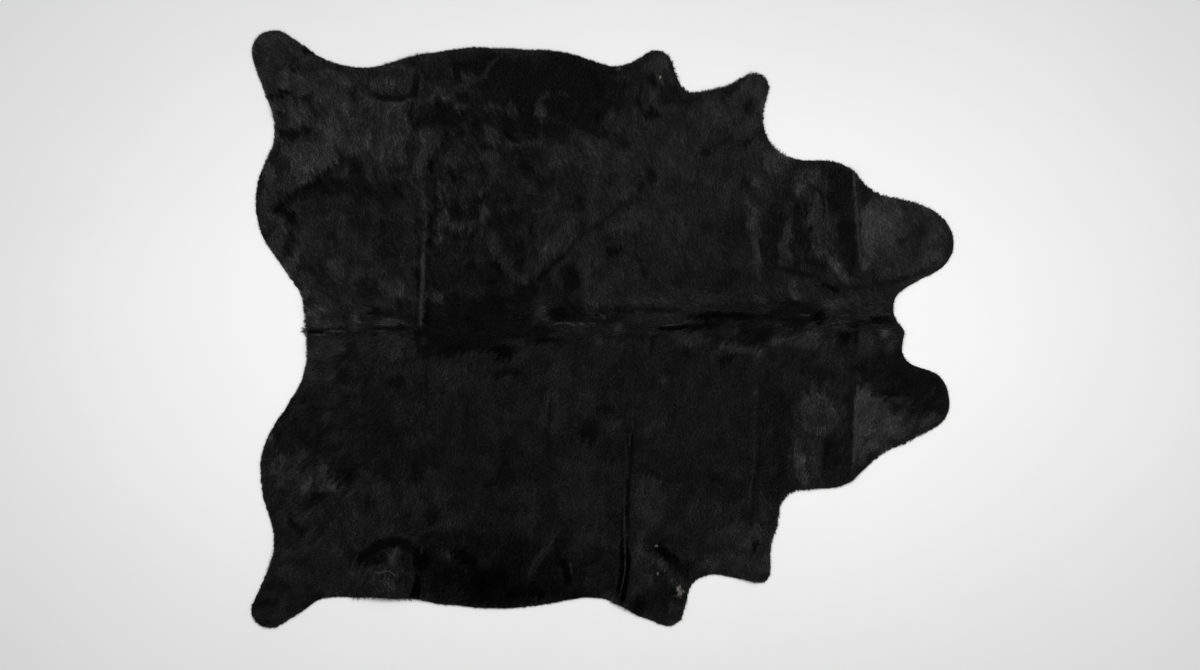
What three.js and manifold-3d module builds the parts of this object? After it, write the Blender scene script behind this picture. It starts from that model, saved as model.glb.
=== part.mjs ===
// Cowhide rug: one whole hide with its hair left on, lying hair side up on a floor.
// Millimetres. +X runs from tail to neck, +Y to the animal's left side and +Z up.
// The origin lies on the floor, under the middle of the hide's box.

import * as THREE from 'three';
import { mergeVertices } from 'three/addons/utils/BufferGeometryUtils.js';
import Module from 'manifold-3d';

// Driving dimensions of the whole hide
const HIDE_LENGTH = 2106; // tail side to neck side
const HIDE_WIDTH = 1791; // across the hind legs
const SKIN_THICKNESS = 2.5; // the tanned skin
const COAT_THICKNESS = 3.5; // the short hair that lies on it

// How finely the curved edge and the folds are cut
const EDGE_DIVISIONS = 4; // half the steps on each bend of the edge
const OPEN_STEP = 70; // widest spacing of the sections between folds
const EDGE_MARGIN = 40; // the sections run this far past the edge before they are trimmed to it
const FOLD_STATIONS = [-1, -0.6, -0.25, 0, 0.25, 0.6, 1]; // sections across a fold, per reach

// The edge is a belt drawn tight round these circles, counter-clockwise from the tail.
// x and y place a circle's centre. A radius above 0 bulges the edge out, one below 0 hollows it in.
const EDGE_BENDS = [
  { name: 'tail notch, right side', x: -1135, y: -62, radius: -249 },
  { name: 'right rump', x: -801, y: -416, radius: 225 },
  { name: 'right hock', x: -1189, y: -635, radius: -204 },
  { name: 'right hind leg', x: -998, y: -842, radius: 54 },
  { name: 'right flank', x: -796, y: -943, radius: -145 },
  { name: 'right belly', x: -321, y: 85, radius: 921 },
  { name: 'right armpit', x: -38, y: -968, radius: -165 },
  { name: 'right foreleg', x: 194, y: -843, radius: 47 },
  { name: 'right foreleg notch', x: 334, y: -815, radius: -81 },
  { name: 'right elbow', x: 471, y: -731, radius: 30 },
  { name: 'right forearm, lower', x: 622, y: -662, radius: -120 },
  { name: 'right forearm, upper', x: 408, y: -551, radius: 119 },
  { name: 'right shoulder notch', x: 594, y: -545, radius: -66 },
  { name: 'right shoulder', x: 675, y: -374, radius: 102 },
  { name: 'right throat', x: 1038, y: -692, radius: -377 },
  { name: 'right cheek', x: 941, y: -215, radius: 97 },
  { name: 'right nape step', x: 952, y: -57, radius: -56 },
  { name: 'nape point', x: 892, y: -9, radius: 13 },
  { name: 'nape notch', x: 942, y: 64, radius: -72 },
  { name: 'left cheek', x: 970, y: 257, radius: 83 },
  { name: 'left brow', x: 885, y: 205, radius: 180 },
  { name: 'left throat', x: 885, y: 538, radius: -146 },
  { name: 'left shoulder', x: 657, y: 371, radius: 135 },
  { name: 'left shoulder notch', x: 609, y: 636, radius: -131 },
  { name: 'left foreleg, front corner', x: 460, y: 724, radius: 39 },
  { name: 'left foreleg notch, front', x: 345, y: 797, radius: -75 },
  { name: 'left foreleg notch, rear', x: 270, y: 751, radius: -44 },
  { name: 'left foreleg, rear corner', x: 160, y: 788, radius: 46 },
  { name: 'left armpit', x: 38, y: 878, radius: -93 },
  { name: 'left belly, front', x: -198, y: 419, radius: 417 },
  { name: 'left belly, rear', x: -387, y: 529, radius: 315 },
  { name: 'left flank, front', x: -525, y: 643, radius: 180 },
  { name: 'left flank', x: -729, y: 1006, radius: -225 },
  { name: 'left hind leg', x: -984, y: 826, radius: 69 },
  { name: 'left hock', x: -1165, y: 598, radius: -182 },
  { name: 'left rump', x: -815, y: 376, radius: 226 },
  { name: 'tail notch, left side', x: -1087, y: 43, radius: -196 },
];

// The spine was the last fold made when the hide was packed. It lies as a trough between two low swells.
const SPINE = { tailY: -5, neckY: 40, reach: 120, rise: 5 };

// The folds across the hide stand as ridges. Each is given where it meets the left edge, the spine and
// the right edge, with its height there.
const FOLDS = [
  { name: 'loin', left: { x: -552, rise: 8 }, spine: { x: -548, rise: 9 }, right: { x: -558, rise: 7 } },
  { name: 'ribs', left: { x: 84, rise: 0 }, spine: { x: 108, rise: 5 }, right: { x: 52, rise: 12 } },
  { name: 'shoulder', left: { x: 442, rise: 6 }, spine: { x: 462, rise: 6 }, right: { x: 438, rise: 5 } },
  { name: 'neck', left: { x: 741, rise: 12 }, spine: { x: 763, rise: 6 }, right: { x: 737, rise: 11 } },
];
const FOLD_REACH = 58; // the skin is off the floor this far from a ridge's crest
const RISE_PITCH = 330; // length over which a ridge's height comes and goes
const RISE_SWING = 0.3; // share of its height that does so

// Places where the skin stands up in a soft swelling, longer one way than the other.
// turn is the angle from +X to its long side, in degrees.
const SWELLINGS = [
  { name: 'right flank buckle', x: -640, y: -765, long: 135, short: 100, turn: 35, rise: 18 },
  { name: 'right belly pucker', x: -128, y: -745, long: 110, short: 45, turn: 106, rise: 9 },
  { name: 'nape roll', x: 640, y: 205, long: 190, short: 55, turn: -14, rise: 7 },
  { name: 'left hock wrinkle', x: -985, y: 655, long: 75, short: 40, turn: 8, rise: 6 },
];

// Direction of the straight run from one bend to the next, which touches both circles.
function headingBetween(from, to) {
  const run = new THREE.Vector2(to.x - from.x, to.y - from.y);
  return run.angle() - Math.asin((to.radius - from.radius) / run.length());
}

function edgeShape() {
  const shape = new THREE.Shape();
  EDGE_BENDS.forEach((bend, i) => {
    const before = EDGE_BENDS.at(i - 1);
    const after = EDGE_BENDS[(i + 1) % EDGE_BENDS.length];
    const hollow = bend.radius < 0;
    const side = hollow ? Math.PI / 2 : -Math.PI / 2;
    const start = headingBetween(before, bend) + side;
    const end = headingBetween(bend, after) + side;
    shape.absarc(bend.x, bend.y, Math.abs(bend.radius), start, end, hollow);
  });
  return shape;
}

// A stiff skin folds to a sharp crest and meets the floor smoothly.
function crest(across) {
  return Math.max(0, 1 - Math.abs(across)) ** 2;
}

// 0 on the fold line, highest halfway out and 0 again at the end of its reach.
function trough(across) {
  return Math.abs(across) < 1 ? Math.sin(Math.PI * across) ** 2 : 0;
}

// A fold's place or height, read between the spine and the edge on that side.
function alongFold(fold, what, y) {
  const side = y > 0 ? fold.left : fold.right;
  const share = Math.min(1, Math.abs(y) / (HIDE_WIDTH / 2));
  return THREE.MathUtils.lerp(fold.spine[what], side[what], share);
}

function foldRise(fold, y) {
  const swing = Math.sin((2 * Math.PI * (y + fold.spine.x)) / RISE_PITCH);
  return alongFold(fold, 'rise', y) * (1 + RISE_SWING * swing);
}

function swellingRise(swelling, x, y) {
  const offset = new THREE.Vector2(x - swelling.x, y - swelling.y);
  offset.rotateAround(new THREE.Vector2(), -THREE.MathUtils.degToRad(swelling.turn));
  const out = Math.hypot(offset.x / swelling.long, offset.y / swelling.short);
  return out < 1 ? swelling.rise * Math.cos((Math.PI * out) / 2) ** 2 : 0;
}

// Height of the underside over the floor, with every fold straight.
function lift(x, y) {
  const heights = [SPINE.rise * trough(y / SPINE.reach)];
  for (const fold of FOLDS) {
    heights.push(foldRise(fold, y) * crest((x - fold.spine.x) / FOLD_REACH));
  }
  for (const swelling of SWELLINGS) {
    heights.push(swellingRise(swelling, x, y));
  }
  return Math.max(...heights);
}

// How far the folds on both sides of x stray along X at this y, blended between them.
function foldShift(x, y) {
  const shifts = FOLDS.map((fold) => alongFold(fold, 'x', y) - fold.spine.x);
  const next = FOLDS.findIndex((fold) => fold.spine.x > x);
  if (next === 0) return shifts[0];
  if (next < 0) return shifts.at(-1);
  const behind = FOLDS[next - 1].spine.x;
  const share = (x - behind) / (FOLDS[next].spine.x - behind);
  return THREE.MathUtils.lerp(shifts[next - 1], shifts[next], share);
}

function spineY(x) {
  const share = (x + HIDE_LENGTH / 2) / HIDE_LENGTH;
  return THREE.MathUtils.lerp(SPINE.tailY, SPINE.neckY, share);
}

// Section lines along one direction: close together across each fold and evenly spaced between them.
function sectionLines(extent, foldPlaces, reach) {
  const half = extent / 2 + EDGE_MARGIN;
  const acrossFolds = foldPlaces.flatMap((place) => FOLD_STATIONS.map((station) => place + station * reach));
  const stops = [-half, ...acrossFolds, half];
  return stops.flatMap((stop, i) => {
    const next = stops[i + 1];
    if (next === undefined) return [stop];
    const count = Math.ceil((next - stop) / OPEN_STEP);
    return Array.from({ length: count }, (_, k) => THREE.MathUtils.lerp(stop, next, k / count));
  });
}

// An untrimmed sheet over the hide's box, with its folds, as a closed solid.
function foldedSheet() {
  const foldPlaces = FOLDS.map((fold) => fold.spine.x);
  const columns = sectionLines(HIDE_LENGTH, foldPlaces, FOLD_REACH);
  const rows = sectionLines(HIDE_WIDTH, [0], SPINE.reach);
  const layer = columns.length * rows.length;
  const thickness = SKIN_THICKNESS + COAT_THICKNESS;
  const positions = [];
  for (const level of [0, thickness]) {
    for (const y of rows) {
      for (const x of columns) {
        positions.push(x + foldShift(x, y), y + spineY(x), lift(x, y) + level);
      }
    }
  }
  const index = [];
  const quad = (a, b, c, d) => index.push(a, b, c, a, c, d);
  const at = (i, j, upper) => j * columns.length + i + (upper ? layer : 0);
  const lastColumn = columns.length - 1;
  const lastRow = rows.length - 1;
  for (let j = 0; j < lastRow; j += 1) {
    for (let i = 0; i < lastColumn; i += 1) {
      quad(at(i, j, true), at(i + 1, j, true), at(i + 1, j + 1, true), at(i, j + 1, true));
      quad(at(i, j), at(i, j + 1), at(i + 1, j + 1), at(i + 1, j));
    }
    quad(at(0, j), at(0, j, true), at(0, j + 1, true), at(0, j + 1));
    quad(at(lastColumn, j), at(lastColumn, j + 1), at(lastColumn, j + 1, true), at(lastColumn, j, true));
  }
  for (let i = 0; i < lastColumn; i += 1) {
    quad(at(i, 0), at(i + 1, 0), at(i + 1, 0, true), at(i, 0, true));
    quad(at(i, lastRow), at(i, lastRow, true), at(i + 1, lastRow, true), at(i + 1, lastRow));
  }
  const sheet = new THREE.BufferGeometry();
  sheet.setAttribute('position', new THREE.Float32BufferAttribute(positions, 3));
  sheet.setIndex(index);
  return sheet;
}

// The hide's outline as a straight-sided block, tall enough to pass through every fold.
function trimBlock() {
  const tallest = 100;
  const block = new THREE.ExtrudeGeometry(edgeShape(), {
    depth: tallest,
    curveSegments: EDGE_DIVISIONS,
    bevelEnabled: false,
  });
  block.computeBoundingBox();
  const middle = block.boundingBox.getCenter(new THREE.Vector3());
  block.translate(-middle.x, -middle.y, -tallest / 2);
  return block;
}

function toSolid(wasm, geometry) {
  const bare = geometry.clone();
  bare.deleteAttribute('normal');
  bare.deleteAttribute('uv');
  const merged = mergeVertices(bare);
  const mesh = new wasm.Mesh({
    numProp: 3,
    vertProperties: new Float32Array(merged.attributes.position.array),
    triVerts: new Uint32Array(merged.index.array),
  });
  return new wasm.Manifold(mesh);
}

function toGeometry(solid) {
  const mesh = solid.getMesh();
  const geometry = new THREE.BufferGeometry();
  geometry.setAttribute('position', new THREE.BufferAttribute(mesh.vertProperties, 3));
  geometry.setIndex(new THREE.BufferAttribute(mesh.triVerts, 1));
  geometry.computeVertexNormals();
  return geometry;
}

async function makeHide() {
  const wasm = await Module();
  wasm.setup();
  const trimmed = toSolid(wasm, foldedSheet()).intersect(toSolid(wasm, trimBlock()));
  const blackHair = new THREE.MeshStandardMaterial({ color: 0x171717, roughness: 0.75, metalness: 0 });
  const hide = new THREE.Mesh(toGeometry(trimmed), blackHair);
  hide.name = 'hide';
  return hide;
}

const rug = new THREE.Group();
rug.name = 'cowhide_rug';
rug.add(await makeHide());

export default rug;
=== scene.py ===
import math
import bpy
import numpy as np
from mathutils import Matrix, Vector
from mathutils.geometry import delaunay_2d_cdt


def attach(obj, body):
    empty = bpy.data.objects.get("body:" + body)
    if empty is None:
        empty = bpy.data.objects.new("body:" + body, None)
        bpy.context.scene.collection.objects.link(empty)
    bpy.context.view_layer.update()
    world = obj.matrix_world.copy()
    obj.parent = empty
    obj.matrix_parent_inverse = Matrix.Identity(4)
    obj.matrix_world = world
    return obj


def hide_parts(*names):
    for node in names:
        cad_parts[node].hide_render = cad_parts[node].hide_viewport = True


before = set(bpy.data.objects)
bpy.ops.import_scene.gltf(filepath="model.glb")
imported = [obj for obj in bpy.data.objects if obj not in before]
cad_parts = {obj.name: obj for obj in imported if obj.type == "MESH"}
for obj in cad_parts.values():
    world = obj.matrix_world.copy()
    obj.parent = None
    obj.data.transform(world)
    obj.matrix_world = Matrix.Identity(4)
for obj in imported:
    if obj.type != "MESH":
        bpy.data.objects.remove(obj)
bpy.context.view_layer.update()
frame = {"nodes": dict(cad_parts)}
scene = bpy.context.scene
mm = 0.001  # the tables below are in millimetres, Blender works in metres
print("frame loaded:", ", ".join(frame["nodes"]))

# Camera straight over the hide, as in the photograph
shot = {
    "pixels": 1200,
    "pixelSize": 3.0,       # on the floor
    "lens": 50.0,
    "sensor": 36.0,
    "aim": (-9.0, -17.1),   # floor point under the middle of the picture
    "farthest": 100.0,      # metres that the camera sees
}

lensData = bpy.data.cameras.new("overheadCamera")
lensData.lens = shot["lens"]
lensData.sensor_width = shot["sensor"]
lensData.clip_end = shot["farthest"]
camera = bpy.data.objects.new("overheadCamera", lensData)
scene.collection.objects.link(camera)
cameraHeight = shot["pixels"] * shot["pixelSize"] * mm * shot["lens"] / shot["sensor"]
camera.location = (shot["aim"][0] * mm, shot["aim"][1] * mm, cameraHeight)
scene.camera = camera
scene.view_settings.view_transform = "Standard"
print("camera set", round(cameraHeight, 2), "m over the floor")


def linear(hexText):
    # sRGB hex to linear red, green, blue, alpha
    parts = [int(hexText[i:i + 2], 16) / 255 for i in (1, 3, 5)]
    return [c / 12.92 if c <= 0.04045 else ((c + 0.055) / 1.055) ** 2.4 for c in parts] + [1.0]


def addNode(material, kind, inputs=None, **settings):
    # inputs gives each socket a fixed value or the socket that feeds it
    tree = material.node_tree
    node = tree.nodes.new(kind)
    for name, value in settings.items():
        setattr(node, name, value)
    for socket, value in (inputs or {}).items():
        if isinstance(value, bpy.types.NodeSocket):
            tree.links.new(value, node.inputs[socket])
        else:
            node.inputs[socket].default_value = value
    return node


def newMaterial(name):
    material = bpy.data.materials.new(name)
    material.use_nodes = True
    material.node_tree.nodes.clear()
    return material


def finishMaterial(material, shader):
    addNode(material, "ShaderNodeOutputMaterial", {"Surface": shader.outputs["BSDF"]})
    return material


def mottled(material, look):
    # height and colour that wander between the look's two colours, in spots of its size
    place = addNode(material, "ShaderNodeTexCoord")
    spots = addNode(material, "ShaderNodeTexNoise", {
        "Vector": place.outputs["Object"], "Scale": 1 / (look["spot"] * mm),
        "Detail": look["detail"], "Roughness": look["fineness"]})
    tint = addNode(material, "ShaderNodeValToRGB", {"Fac": spots.outputs["Fac"]})
    for element, colour in zip(tint.color_ramp.elements, look["colours"]):
        element.color = linear(colour)
    return spots.outputs["Fac"], tint.outputs["Color"]


# Plain studio: pale floor, one wide soft light close overhead, a far one on the left side.
# Places and sides of the lights are in metres.
studio = {
    "sky": "#f4f5f6",
    "skyStrength": 0.51,
    "floorReach": 40.0,   # metres from the middle
    "floorDrop": 0.4,     # just under the hide
    "overhead": {"place": (0.08, 0.05, 1.6), "sides": (3.4, 0.7), "watts": 21.5},
    "leftSide": {"place": (1.5, 6.0, 7.0), "spread": 14.0, "strength": 0.60},
}
# Painted board: matt, with the faint unevenness that a roller leaves
boardLook = {
    "colours": ("#eeeeed", "#f3f3f2"), "spot": 600.0, "detail": 2.0, "fineness": 0.5,
    "roughness": 0.9, "specularLevel": 0.2,
}


def makeStudio():
    sky = bpy.data.worlds.new("studioSky")
    sky.use_nodes = True
    air = sky.node_tree.nodes["Background"]
    air.inputs["Color"].default_value = linear(studio["sky"])
    air.inputs["Strength"].default_value = studio["skyStrength"]
    scene.world = sky

    box = studio["overhead"]
    softbox = bpy.data.lights.new("overheadSoftbox", "AREA")
    softbox.shape = "RECTANGLE"
    softbox.size, softbox.size_y = box["sides"]
    softbox.energy = box["watts"]
    light = bpy.data.objects.new("overheadSoftbox", softbox)
    light.location = box["place"]
    light.visible_camera = False
    scene.collection.objects.link(light)

    far = studio["leftSide"]
    window = bpy.data.lights.new("leftSideLight", "SUN")
    window.angle = math.radians(far["spread"])
    window.energy = far["strength"]
    light = bpy.data.objects.new("leftSideLight", window)
    light.location = far["place"]
    light.rotation_euler = (-Vector(far["place"])).to_track_quat("-Z", "Y").to_euler()
    scene.collection.objects.link(light)

    paint = newMaterial("mattPaintedBoard")
    shader = addNode(paint, "ShaderNodeBsdfPrincipled", {
        "Base Color": mottled(paint, boardLook)[1], "Roughness": boardLook["roughness"],
        "Specular IOR Level": boardLook["specularLevel"]})
    finishMaterial(paint, shader)

    reach, drop = studio["floorReach"], -studio["floorDrop"] * mm
    mesh = bpy.data.meshes.new("studioFloor")
    corners = [(-reach, -reach, drop), (reach, -reach, drop), (reach, reach, drop), (-reach, reach, drop)]
    mesh.from_pydata(corners, [], [(0, 1, 2, 3)])
    mesh.materials.append(paint)
    floor = bpy.data.objects.new("studioFloor", mesh)
    scene.collection.objects.link(floor)


makeStudio()
print("studio made")


def smooth(share):
    share = np.clip(share, 0.0, 1.0)
    return share * share * (3.0 - 2.0 * share)


noiseCells = 211                  # before the noise repeats
noiseStart = (1000.37, 1000.71)   # cells from the first, so that none is below 0


def softNoise(x, y, pitch, seed):
    # smooth random values from -1 to 1, one bump for about each pitch
    lattice = np.random.default_rng(seed).uniform(-1.0, 1.0, (noiseCells, noiseCells))
    u, v = x / pitch + noiseStart[0], y / pitch + noiseStart[1]
    i, j = np.floor(u).astype(int), np.floor(v).astype(int)
    a, b = smooth(u - i), smooth(v - j)
    i0, i1, j0, j1 = (k % noiseCells for k in (i, i + 1, j, j + 1))
    lower = lattice[i0, j0] * (1 - a) + lattice[i1, j0] * a
    upper = lattice[i0, j1] * (1 - a) + lattice[i1, j1] * a
    return lower * (1 - b) + upper * b


# The cut edge comes off the solid's upright wall, then is rounded and made as uneven as a knife leaves it
edge = {
    "upright": 0.2,   # most that a wall's normal points up or down
    "step": 4.0,      # between points of the line
    "roundings": 5,
    "knife": [(1.3, 52.0, 21), (0.6, 17.0, 22)],   # sway, pitch, seed
    # where the knife ran a little outside or inside the even line: x, y, reach, outwards
    "trims": [
        (-573, -816, 60, -10.0), (-684, -808, 40, -4.0), (-930, 166, 60, 10.0), (-1011, -503, 45, 6.0),
        (108, -851, 35, 6.0), (270, -764, 30, -5.0), (985, 178, 50, 6.0), (516, 550, 35, -4.0),
        (435, 757, 30, 5.0), (903, 130, 35, 4.0), (1011, 331, 40, 5.0), (1008, -149, 40, 5.0),
        (753, -437, 60, 5.0), (-1014, 487, 60, 4.0), (-1047, -857, 30, 4.0), (-1026, 880, 30, 4.0),
        (-903, -836, 40, 4.0), (-1000, 247, 50, 3.0), (753, 466, 40, 4.0), (-790, -795, 50, 4.0),
        (-765, 784, 50, 3.0), (159, 832, 40, 3.0), (1029, -242, 40, 3.0), (42, 784, 40, 3.0),
    ],
}


def edgeOf(node):
    mesh = node.data
    mesh.calc_loop_triangles()
    points = np.array([v.co for v in mesh.vertices]) / mm
    keys = [tuple(p) for p in np.round(points, 2)]   # corners that touch are one
    topSides, wallSides = set(), set()
    for triangle in mesh.loop_triangles:
        upright = abs(triangle.normal.z) < edge["upright"]
        if not upright and triangle.normal.z < 0:
            continue
        a, b, c = (keys[i] for i in triangle.vertices)
        sides = wallSides if upright else topSides
        sides.update((frozenset((a, b)), frozenset((b, c)), frozenset((c, a))))
    near = {}
    for a, b in (tuple(side) for side in topSides & wallSides):
        near.setdefault(a, []).append(b)
        near.setdefault(b, []).append(a)
    start = min(near)
    loop, last, here = [start], None, start
    while True:
        ahead = [p for p in near[here] if p != last]
        last, here = here, ahead[0]
        if here == start:
            break
        loop.append(here)
    corners = np.array(loop)[:, :2]
    closed = np.vstack([corners, corners[:1]])
    along = np.r_[0.0, np.cumsum(np.hypot(*np.diff(closed, axis=0).T))]
    count = int(along[-1] / edge["step"])
    places = np.arange(count) * along[-1] / count
    line = np.c_[np.interp(places, along, closed[:, 0]), np.interp(places, along, closed[:, 1])]
    for _ in range(edge["roundings"]):
        line = (np.roll(line, 1, 0) + 2 * line + np.roll(line, -1, 0)) / 4
    area = 0.5 * np.sum(line[:, 0] * np.roll(line[:, 1], -1) - line[:, 1] * np.roll(line[:, 0], -1))
    if area < 0:
        line = line[::-1]
    run = np.roll(line, -1, 0) - np.roll(line, 1, 0)
    out = np.c_[run[:, 1], -run[:, 0]] / np.hypot(*run.T)[:, None]
    for sway, pitch, seed in edge["knife"]:
        line = line + out * (sway * softNoise(line[:, 0], line[:, 1], pitch, seed))[:, None]
    for px, py, reach, outwards in edge["trims"]:
        weight = np.exp(-(np.hypot(*(line - (px, py)).T) / reach) ** 2)
        line = line + out * (outwards * weight)[:, None]
    return line, out, abs(area)


edgeLine, edgeOut, edgeArea = edgeOf(frame["nodes"]["hide"])
print("edge of", len(edgeLine), "points round", round(edgeArea * mm * mm, 3), "square metres")

# Everything that changes over the hide is worked out once on this grid
grid = {"pitch": 3.0, "margin": 66.0, "edgeReach": 60.0}
low = edgeLine.min(0) - grid["margin"]
high = edgeLine.max(0) + grid["margin"]
columns = np.arange(low[0], high[0], grid["pitch"])
rows = np.arange(low[1], high[1], grid["pitch"])
gridX, gridY = np.meshgrid(columns, rows)
lastCell = 1.001   # samples stay this far inside the grid's end, so that there is a next cell


def sample(values, x, y):
    # a value of the grid at any place, blended between its four neighbours
    u = np.clip((x - columns[0]) / grid["pitch"], 0, len(columns) - lastCell)
    v = np.clip((y - rows[0]) / grid["pitch"], 0, len(rows) - lastCell)
    i, j = u.astype(int), v.astype(int)
    a, b = u - i, v - j
    return ((values[j, i] * (1 - a) + values[j, i + 1] * a) * (1 - b)
            + (values[j + 1, i] * (1 - a) + values[j + 1, i + 1] * a) * b)


def windowRound(x0, x1, y0, y1, reach):
    # part of the grid within reach of a box
    i0, i1 = np.searchsorted(columns, (x0 - reach, x1 + reach))
    j0, j1 = np.searchsorted(rows, (y0 - reach, y1 + reach))
    return slice(j0, j1), slice(i0, i1)


def depthInside():
    # distance in from the edge, below 0 outside it
    reach = grid["edgeReach"]
    far = np.full(gridX.shape, reach)
    for x, y in edgeLine:
        part = windowRound(x, x, y, y, reach)
        far[part] = np.minimum(far[part], np.hypot(gridX[part] - x, gridY[part] - y))
    inside = np.zeros(gridX.shape, bool)
    x0, y0 = edgeLine.T
    x1, y1 = np.roll(edgeLine, -1, 0).T
    for j, y in enumerate(rows):
        cut = (y0 > y) != (y1 > y)
        crossings = np.sort(x0[cut] + (y - y0[cut]) / (y1[cut] - y0[cut]) * (x1[cut] - x0[cut]))
        inside[j] = np.searchsorted(crossings, columns) % 2 == 1
    return np.where(inside, far, -far)


edgeDepth = depthInside()

# The folds repeat part.mjs: each has its x and rise at the left edge, the spine and the right edge
foldTable = {
    "loin": ((-552, 8), (-548, 9), (-558, 7)),
    "ribs": ((84, 0), (108, 5), (52, 12)),
    "shoulder": ((442, 6), (462, 6), (438, 5)),
    "neck": ((741, 12), (763, 6), (737, 11)),
}
foldForm = {
    "hideLength": 2106.0, "hideWidth": 1791.0,
    "spineTailY": -5.0, "spineNeckY": 40.0, "spineReach": 120.0, "spineRise": 5.0,
    "reach": 58.0, "crestRound": 0.06,   # share of the reach over which a crest is rounded
    "risePitch": 330.0, "riseSwing": 0.3,
    "passes": 3,   # to find where a bent fold would lie if it were straight
    "faintRise": 0.9, "faintPitch": 170.0, "faintSeed": 31,   # the skin is nowhere quite flat
}
swellingTable = {
    # x, y, long, short, turn, rise
    "right flank buckle": (-640, -765, 135, 100, 35, 18),
    "right belly pucker": (-128, -745, 110, 45, 106, 9),
    "nape roll": (640, 205, 190, 55, -14, 7),
    "left hock wrinkle": (-985, 655, 75, 40, 8, 6),
}


def spineAt(x):
    share = (x + foldForm["hideLength"] / 2) / foldForm["hideLength"]
    return foldForm["spineTailY"] + (foldForm["spineNeckY"] - foldForm["spineTailY"]) * share


def alongFold(stations, which, y):
    left, spine, right = (station[which] for station in stations)
    share = np.minimum(1.0, np.abs(y) / (foldForm["hideWidth"] / 2))
    return spine + (np.where(y > 0, left, right) - spine) * share


def foldLift(x, y):
    # height of the underside over the floor
    across = y - spineAt(x)
    stations = sorted(foldTable.values(), key=lambda stops: stops[1][0])
    spines = [stops[1][0] for stops in stations]
    straightX = x
    for _ in range(foldForm["passes"]):
        shifts = [alongFold(stops, 0, across) - stops[1][0] for stops in stations]
        shift = shifts[0]
        for k in range(1, len(spines)):
            share = np.clip((straightX - spines[k - 1]) / (spines[k] - spines[k - 1]), 0.0, 1.0)
            blended = shifts[k - 1] + (shifts[k] - shifts[k - 1]) * share
            shift = np.where(straightX > spines[k - 1], blended, shift)
        straightX = x - shift
    a = across / foldForm["spineReach"]
    lift = np.where(np.abs(a) < 1, foldForm["spineRise"] * np.sin(np.pi * a) ** 2, 0.0)
    soft = foldForm["crestRound"]
    for stops in stations:
        swing = 1 + foldForm["riseSwing"] * np.sin(2 * np.pi * (across + stops[1][0]) / foldForm["risePitch"])
        b = (straightX - stops[1][0]) / foldForm["reach"]
        crest = np.maximum(0.0, 1 + soft - np.sqrt(b * b + soft * soft)) ** 2
        lift = np.maximum(lift, alongFold(stops, 1, across) * swing * crest)
    for sx, sy, long, short, turn, rise in swellingTable.values():
        c, s = math.cos(math.radians(turn)), math.sin(math.radians(turn))
        ox, oy = straightX - sx, across - sy
        out = np.minimum(1.0, np.hypot((ox * c + oy * s) / long, (oy * c - ox * s) / short))
        lift = np.maximum(lift, rise * np.cos(np.pi * out / 2) ** 2)
    faint = softNoise(x, y, foldForm["faintPitch"], foldForm["faintSeed"])
    return lift + foldForm["faintRise"] * (1 + faint) / 2


underside = foldLift(gridX, gridY)
print("folds worked out, highest", round(float(underside[edgeDepth > 0].max()), 1), "mm")

# Which way the hair lies: down from the spine to the belly, leaning to the tail, and along each leg
layForm = {
    "spineBand": 75.0,    # this close to the spine it lies along it
    "sideBand": 45.0,     # and over this it turns from one side to the other
    "lean": 0.30, "spineLean": 0.70,   # to the tail, all over and along the spine
    "spineSide": 0.65,    # how much less it lies sideways there
    "placeWeight": 1.6,
    "turns": [(24.0, 160.0, 71), (15.0, 52.0, 72), (9.0, 20.0, 73)],   # degrees, pitch, seed
    "byNap": 16.0,        # degrees that a stop of brightness goes with
    # places where it lies another way: x, y, reach, lean along X, lean along Y
    "places": [
        (-980, 770, 190, -0.85, 0.55), (-980, -780, 190, -0.85, -0.55), (150, 760, 110, -0.1, 1.0),
        (455, 690, 110, 0.2, 1.0), (190, -810, 110, 0.05, -1.0), (460, -690, 110, 0.25, -1.0),
        (950, 260, 150, -0.75, 0.65), (940, -220, 150, -0.75, -0.65), (-850, 30, 150, -1.0, 0.15),
        (-850, -60, 150, -1.0, -0.15),
    ],
}


def layOfHair():
    across = gridY - spineAt(gridX)
    middle = np.exp(-(across / layForm["spineBand"]) ** 2)
    side = np.tanh(across / layForm["sideBand"])
    x = -(layForm["lean"] + layForm["spineLean"] * middle)
    y = side * (1.0 - layForm["spineSide"] * middle)
    for px, py, reach, leanX, leanY in layForm["places"]:
        weight = layForm["placeWeight"] * np.exp(-(np.hypot(gridX - px, gridY - py) / reach) ** 2)
        x, y = x + weight * leanX, y + weight * leanY
    turn = sum(np.radians(degrees) * softNoise(gridX, gridY, pitch, seed)
               for degrees, pitch, seed in layForm["turns"])
    return np.arctan2(y, x) + turn, side


lay, laySide = layOfHair()
layX, layY = np.cos(lay), np.sin(lay)
comb = {"steps": 6, "seed": 81}   # steps of the grid that a streak runs each way


def combStreaks():
    # random values drawn out along the lay, as a brush leaves the hair
    grains = np.random.default_rng(comb["seed"]).normal(0.0, 1.0, gridX.shape)
    total = grains.copy()
    for way in (1.0, -1.0):
        x, y = gridX, gridY
        for _ in range(comb["steps"]):
            dx, dy = sample(layX, x, y), sample(layY, x, y)
            x, y = x + way * grid["pitch"] * dx, y + way * grid["pitch"] * dy
            total += sample(grains, x, y)
    return total / total.std()


streaks = combStreaks()
print("hair combed")

# Marks are placed through swayed coordinates, so their edges wander and break up along the hair
sway = {
    "near": [(6.0, 74.0, 41), (7.0, 27.0, 43), (4.0, 12.0, 45)],   # reach, pitch, seed
    "far": [(34.0, 210.0, 47), (22.0, 95.0, 49)],
    "alongHair": 6.5,   # how far streaks of hair pull a mark with them
}


def swayed(table):
    x = sum(reach * softNoise(gridX, gridY, pitch, seed) for reach, pitch, seed in table)
    y = sum(reach * softNoise(gridX, gridY, pitch, seed + 1) for reach, pitch, seed in table)
    return x, y


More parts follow.
